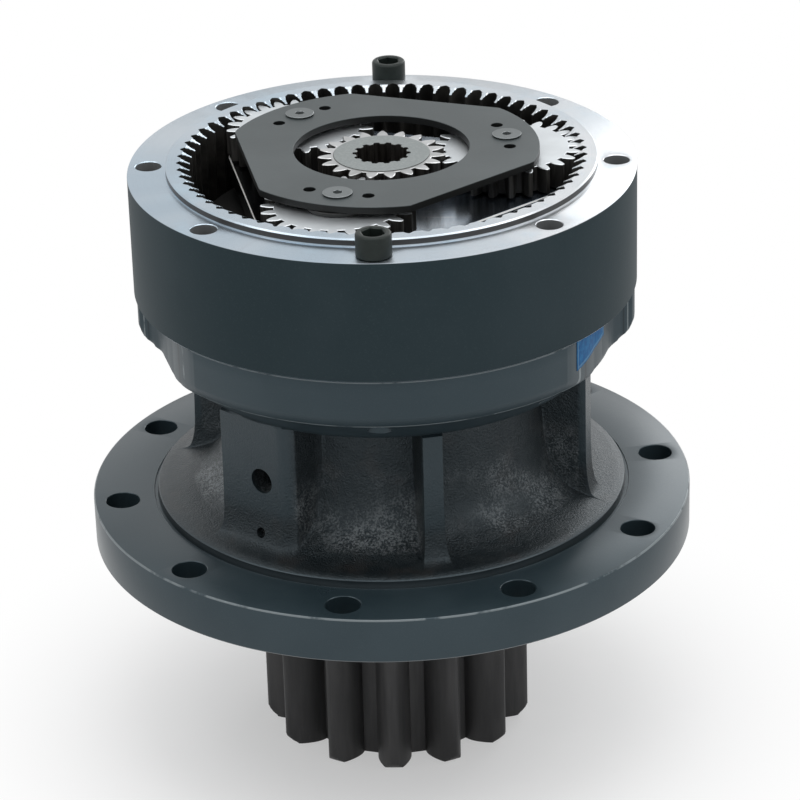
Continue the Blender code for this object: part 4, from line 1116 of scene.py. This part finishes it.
# Even surface with fine specks; below a given top, painted shade turns the walls near black, or a painted
# highlight lightens the rim
def plateSteel(name, colours, rough, metal, top=None, rim=None):
    material, shader = newMaterial(name, colours[0], Metallic=metal)
    place = objectPlace()
    z = partsOf(place)[2]
    fine = noise(place, 420.0, 4.0, 0.6)
    broad = noise(place, 14.0, 3.0, 0.5)
    colour = blend(broad, 0.35, 0.7, colours)
    colour = mixColour(smoothStep(fine, 0.66, 0.8) * 0.35, colour, brighter(colours[1], 2.4))
    # painted shade: the walls below the top are near black
    if top:
        colour = mixColour(upFrom(z, top, -0.45, -0.25), wallShade, colour)
    # painted highlight: a pale band round the rim just below the top
    if rim:
        colour = mixColour(strip(z, rim, -0.28, -0.24, -0.06, -0.02), colour, rimHighlight)
    feed(shader, Base_Color=colour, Roughness=rough + 0.12 * broad + 0.05 * fine,
         Normal=bumpOf(fine, 0.15, 0.3 * mm))
    return material


# Upright streaks on tooth flanks
def flankStreak(place):
    return noise(place, 260.0, 3.0, 0.55, (1.0, 1.0, 0.08))


# Ground end faces; below their edge, painted shade darkens the flanks
def gearSteel(name, top, face, flank, rough):
    material, shader = newMaterial(name, face)
    place = objectPlace()
    z = partsOf(place)[2]
    fine = noise(place, 300.0, 4.0, 0.6)
    broad = noise(place, 22.0, 3.0, 0.5)
    upper = upFrom(z, top, -0.55, -0.35)
    bright = blend(broad, 0.35, 0.7, (face, brighter(face, 1.2)))
    # painted shade on the flanks, with upright streaks
    flankShade = blend(flankStreak(place), 0.42, 0.72, (flank, brighter(flank, 3.0)))
    feed(shader, Base_Color=mixColour(upper, flankShade, bright), Metallic=0.75 + 0.25 * upper,
         Roughness=rough + 0.14 * (1.0 - upper) + 0.08 * fine, Normal=bumpOf(fine, 0.1, 0.2 * mm))
    return material


sunLook = {
    "base": (0.3, 0.3, 0.3),
    "hub": [(0.24, 0.265, 0.265), (0.29, 0.315, 0.315)],
    "tooth": [(0.36, 0.37, 0.37), (0.58, 0.59, 0.60)],
    # painted shade on the flanks and the bore
    "flank": [(0.030, 0.027, 0.024), (0.09, 0.085, 0.08)],
}


# Matt hub, ground tooth ends, and painted shade darkening the flanks and the bore
def sunSteel(top):
    material, shader = newMaterial("sun steel", sunLook["base"])
    place = objectPlace()
    x, y, z = partsOf(place)
    r = lengthOf(x, y)
    fine = noise(place, 620.0, 4.0, 0.6)
    broad = noise(place, 30.0, 3.0, 0.5)
    tooth = upFrom(z, top, -0.55, -0.35) * upFrom(r, sun1["hubRadius"], -0.1, 0.4)
    hub = upFrom(z, top, 0.2, 0.4) * upFrom(r, sun1["splineMouth"], -0.3, -0.1)
    matt = blend(fine, 0.4, 0.7, sunLook["hub"])
    ground = blend(broad, 0.35, 0.7, sunLook["tooth"])
    # painted shade on the flanks and the bore
    flankShade = blend(flankStreak(place), 0.42, 0.72, sunLook["flank"])
    colour = mixColour(hub, mixColour(tooth, flankShade, ground), matt)
    metallic = 0.6 + 0.4 * tooth - 0.2 * hub
    roughness = 0.34 - 0.08 * tooth + 0.16 * hub + 0.06 * fine
    feed(shader, Base_Color=colour, Metallic=metallic, Roughness=roughness,
         Normal=bumpOf(fine, 0.14, 0.2 * mm))
    return material


carrierLook = {
    "base": (0.3, 0.35, 0.4),
    "blue": [(0.24, 0.30, 0.38), (0.46, 0.52, 0.58)],
    "streak": (0.10, 0.10, 0.10),
    "scratch": (0.65, 0.66, 0.68),
    # painted shade towards the left
    "left": (0.035, 0.038, 0.040),
    # painted highlight on the chamfer
    "edge": (0.78, 0.78, 0.76),
}


# Blued face, with painted shade darkening it towards the left and a painted highlight on the chamfer at its
# edge
def bluedSteel(top):
    look = carrierLook
    material, shader = newMaterial("carrier steel", look["base"])
    place = objectPlace()
    x, y, z = partsOf(place)
    # painted highlight: a pale band on the top edge's chamfer
    edge = strip(z, top, -0.95, -0.8, -0.2, -0.05)
    broad = noise(place, 18.0, 4.0, 0.55)
    streak = noise(place, 60.0, 4.0, 0.6, (1.0, 0.12, 1.0))
    scratch = smoothStep(noise(place, 240.0, 3.0, 0.5, (0.06, 1.0, 1.0)), 0.63, 0.70)
    colour = blend(broad, 0.35, 0.65, look["blue"])
    colour = mixColour(smoothStep(streak, 0.5, 0.72) * 0.4, colour, look["streak"])
    colour = mixColour(scratch * 0.35, colour, look["scratch"])
    # painted shade: darker towards the left
    colour = mixColour(1.0 - smoothStep(x, -0.07, -0.01), colour, look["left"])
    colour = mixColour(edge, colour, look["edge"])
    feed(shader, Base_Color=colour, Metallic=0.95 - 0.75 * edge,
         Roughness=0.14 + 0.14 * streak + 0.25 * edge, Normal=bumpOf(scratch + streak, 0.05, 0.1 * mm))
    return material


# Black oxide with streaks and small worn spots
def blackSteel(name, colours, rough, stretch):
    material, shader = newMaterial(name, colours[0], Metallic=0.2, Specular_IOR_Level=0.3)
    place = objectPlace()
    streak = noise(place, 55.0, 4.0, 0.6, stretch)
    fine = noise(place, 500.0, 4.0, 0.6)
    colour = blend(streak, 0.35, 0.7, colours)
    colour = mixColour(smoothStep(fine, 0.66, 0.82) * 0.3, colour, brighter(colours[1], 3.0))
    feed(shader, Base_Color=colour, Roughness=rough + 0.15 * streak,
         Normal=bumpOf(fine + streak, 0.2, 0.3 * mm))
    return material


labelLook = {
    "base": (0.02, 0.16, 0.45),
    "film": [(0.012, 0.10, 0.27), (0.026, 0.17, 0.38)],
    "line": (0.16, 0.30, 0.42),
}


# Plain film with a paler line inside its border
def labelBlue():
    material, shader = newMaterial("label film", labelLook["base"], Specular_IOR_Level=0.15)
    u, v, depth = partsOf(Sock.node("ShaderNodeTexCoord", out="UV"))
    edge = smallest(smallest(u, 1.0 - u) * 2.6, smallest(v, 1.0 - v))
    borderLine = between(edge, 0.035, 0.05, 0.10, 0.115)
    mottle = noise(objectPlace(), 240.0, 3.0, 0.6)
    blue = blend(mottle, 0.35, 0.7, labelLook["film"])
    colour = mixColour(borderLine * 0.5, blue, labelLook["line"])
    feed(shader, Base_Color=colour, Roughness=0.6 + 0.1 * mottle)
    return material


# Cloudy colour and fine bump, for parts that hardly show
def plainMetal(name, colours, rough, metal):
    material, shader = newMaterial(name, colours[0], Metallic=metal)
    place = objectPlace()
    cloud = noise(place, 60.0, 4.0, 0.55)
    feed(shader, Base_Color=blend(cloud, 0.35, 0.7, colours), Roughness=rough + 0.1 * cloud,
         Normal=bumpOf(noise(place, 700.0, 3.0, 0.5), 0.08, 0.2 * mm))
    return material


# Colours of the plainer finishes
tints = {
    "phosphate": [(0.052, 0.064, 0.067), (0.074, 0.088, 0.092)],
    "screwGrey": [(0.125, 0.140, 0.144), (0.175, 0.195, 0.200)],
    "floorPlate": [(0.022, 0.022, 0.022), (0.05, 0.05, 0.05)],
    "planetFace": (0.56, 0.59, 0.61),
    # painted shade: the planets' flanks are darkened
    "planetFlankShade": (0.036, 0.035, 0.033),
    "pinion": [(0.041, 0.041, 0.042), (0.079, 0.078, 0.079)],
    "screw": [(0.010, 0.015, 0.014), (0.017, 0.024, 0.022)],
    # painted shade: the washers under the plate are near black
    "washer": [(0.014, 0.015, 0.015), (0.022, 0.023, 0.023)],
    "bearing": [(0.50, 0.51, 0.52), (0.60, 0.61, 0.62)],
    "bronze": [(0.40, 0.24, 0.10), (0.52, 0.33, 0.15)],
    "rubber": [(0.012, 0.012, 0.012), (0.02, 0.02, 0.02)],
}

carrierTop = nodeBottom("planet_gear_1_1") - carrier1["underPlanet"]
castingPaint = castPaint()
turnedRing = ringSteel()
phosphate = plateSteel("phosphated plate", tints["phosphate"], 0.42, 0.25, top=nodeTop("retainer_plate_1"))
screwGrey = plateSteel("screw grey", tints["screwGrey"], 0.40, 0.25, rim=nodeTop("plate_screw_1_1"))
floorPlate = plateSteel("floor plate", tints["floorPlate"], 0.4, 0.4)
planetSteel = gearSteel("planet steel", nodeTop("planet_gear_1_1"),
                        tints["planetFace"], tints["planetFlankShade"], 0.40)
mattSun = sunSteel(nodeTop("sun_gear_1") - sun1["hubHeight"])
blueCarrier = bluedSteel(carrierTop)
pinionBlack = blackSteel("pinion black", tints["pinion"], 0.46, (1.0, 1.0, 0.12))
screwBlack = blackSteel("screw black", tints["screw"], 0.38, (1.0, 1.0, 1.0))
# near-black washers: painted shade under the plate
shadedWasher = plainMetal("washer steel", tints["washer"], 0.45, 0.2)
bearingSteel = plainMetal("bearing steel", tints["bearing"], 0.18, 1.0)
bushBronze = plainMetal("bush bronze", tints["bronze"], 0.3, 1.0)
sealRubber = plainMetal("seal rubber", tints["rubber"], 0.6, 0.0)
labelFilm = labelBlue()
print("materials made")

# Every solid of the frame gets the finish of its slot
slotFinish = {
    "painted_iron": castingPaint, "machined_ring": turnedRing, "phosphated": phosphate,
    "ground_steel": planetSteel, "matt_steel": mattSun, "carrier_steel": blueCarrier,
    "black_steel": pinionBlack, "black_oxide": screwBlack, "bearing_steel": bearingSteel,
    "bronze": bushBronze, "rubber": sealRubber,
}
for part in frame["record"]["subparts"]:
    node = frame["nodes"][part["node"]]
    if not node.material_slots:
        node.data.materials.append(None)
    for materialSlot in node.material_slots:
        materialSlot.material = slotFinish[part["material_slot"]]

makeCasing(castingPaint)
makeRing(turnedRing)
makeRingScrew("ring_screw_front", screwBlack, 0.30)
makeRingScrew("ring_screw_rear", screwBlack, 0.12)
makePlate1(phosphate)
makeCarrier1(blueCarrier)
makePlate2(floorPlate)
makeSun1(mattSun)
for i in (1, 2, 3):
    makePlateScrew1(i, screwGrey)
    makeWasher(i, shadedWasher)
    makePlanet1(i, planetSteel)
makePinion(pinionBlack)
makeLabel(labelFilm)
print("pieces made")


# Floor, light and camera

floorPlan = {
    "half": 6.0,
    "height": -0.5 * mm,
    "cloth": [(0.86, 0.87, 0.88), (0.96, 0.965, 0.97)],
    "weave": 2600.0,
    "shadow": 0.42,  # share of plain white close to the part; the rest keeps its shadow
    "fade": (0.10, 0.36),
}

worldStrength = 0.40  # on the part


# 1 for the camera's rays and for those that see it in gloss or through glass
def seenRay():
    rays = Sock.node("ShaderNodeLightPath")
    return largest(*(rays.output(kind) for kind in ("Is Camera Ray", "Is Glossy Ray", "Is Transmission Ray")))


# A pale sheet that keeps the part's shadow and turns to plain white further out
def makeStage():
    half, height = floorPlan["half"], floorPlan["height"]
    corners = [(-half, -half, height), (half, -half, height), (half, half, height), (-half, half, height)]
    data = bpy.data.meshes.new("floorSheet")
    data.from_pydata(corners, [], [(0, 1, 2, 3)])
    material, shader = newMaterial("floor cloth", floorPlan["cloth"][0], Roughness=0.9)
    place = objectPlace()
    x, y, z = partsOf(place)
    weave = Sock.math("SINE", (x + y) * floorPlan["weave"]) * 0.5 + 0.5
    cloud = noise(place, 30.0, 3.0, 0.5)
    feed(shader, Base_Color=mixColour(weave * 0.5 + cloud * 0.5, *floorPlan["cloth"]))
    fade = floorPlan["shadow"] + (1 - floorPlan["shadow"]) * smoothStep(lengthOf(x, y), *floorPlan["fade"])
    white = Sock.node("ShaderNodeEmission", Color=(1, 1, 1, 1))
    mix = Sock.node("ShaderNodeMixShader", i0=fade * seenRay(), i1=Sock(shader.outputs[0]), i2=white)
    Sock.put(mix, material.node_tree.nodes["Material Output"].inputs["Surface"])
    linked("floorSheet", data, material)


# White where the camera or a reflection sees it, dimmer as a light on the part
def makeWorld():
    world = bpy.data.worlds.new("studio")
    bpy.context.scene.world = world
    world.use_nodes = True
    Sock.tree = world.node_tree
    feed(world.node_tree.nodes["Background"], Color=(1, 1, 1, 1), Strength=largest(seenRay(), worldStrength))


lampPlan = {
    "left": {"place": (-1.5, -0.6, 2.1), "size": 1.2, "power": 8.0},
    "right": {"place": (1.6, -0.5, 2.0), "size": 1.2, "power": 9.0},
    "top": {"place": (0.1, -0.2, 2.8), "size": 1.6, "power": 20.0},
    "rear": {"place": (1.0, 1.8, 1.1), "size": 1.2, "power": 10.0},
}
lampTarget = (0, 0, 0.28)


# Soft square lamps, each turned to the middle of the part
def makeLamps():
    for name, plan in lampPlan.items():
        lamp = bpy.data.lights.new(name, "AREA")
        lamp.size = plan["size"]
        lamp.energy = plan["power"]
        holder = bpy.data.objects.new(name, lamp)
        holder.location = plan["place"]
        aim = Vector(lampTarget) - Vector(plan["place"])
        holder.rotation_euler = aim.to_track_quat("-Z", "Y").to_euler()
        bpy.context.scene.collection.objects.link(holder)


# The camera stands where the photograph was taken: a distance and elevation from the middle of
# the ring's face, its pitch, small yaw and roll, and the turn of the part on the floor
view = {
    "distance": 2.42235,
    "elevation": 21.569,
    "pitch": 25.430,
    "yaw": -0.1945,
    "roll": -1.690,
    "partTurn": 2.5,
    "lens": 158.379,
    "sensor": 36.0,
    "clipEnd": 50.0,
}


def makeCamera():
    elevation, pitch, roll = (math.radians(view[key]) for key in ("elevation", "pitch", "roll"))
    yaw = Matrix.Rotation(math.radians(view["yaw"]), 3, "Z")
    spin = Matrix.Rotation(math.radians(view["partTurn"]), 3, "Z")
    right = yaw @ Vector((1, 0, 0))
    up = yaw @ Vector((0, math.sin(pitch), math.cos(pitch)))
    ahead = yaw @ Vector((0, math.cos(pitch), -math.sin(pitch)))
    rolledRight = math.cos(roll) * right + math.sin(roll) * up
    rolledUp = -math.sin(roll) * right + math.cos(roll) * up
    away = view["distance"] * Vector((0, -math.cos(elevation), math.sin(elevation)))
    place = spin @ away + Vector((0, 0, ring["face"]))
    axes = Matrix((spin @ rolledRight, spin @ rolledUp, -(spin @ ahead))).transposed()
    camera = bpy.data.cameras.new("photoCamera")
    camera.lens = view["lens"]
    camera.sensor_width = view["sensor"]
    camera.clip_end = view["clipEnd"]
    holder = bpy.data.objects.new("photoCamera", camera)
    holder.matrix_world = Matrix.Translation(place) @ axes.to_4x4()
    bpy.context.scene.collection.objects.link(holder)
    bpy.context.scene.camera = holder


makeStage()
makeWorld()
makeLamps()
makeCamera()
bpy.context.scene.view_settings.view_transform = "Standard"
print("stage, light and camera made")
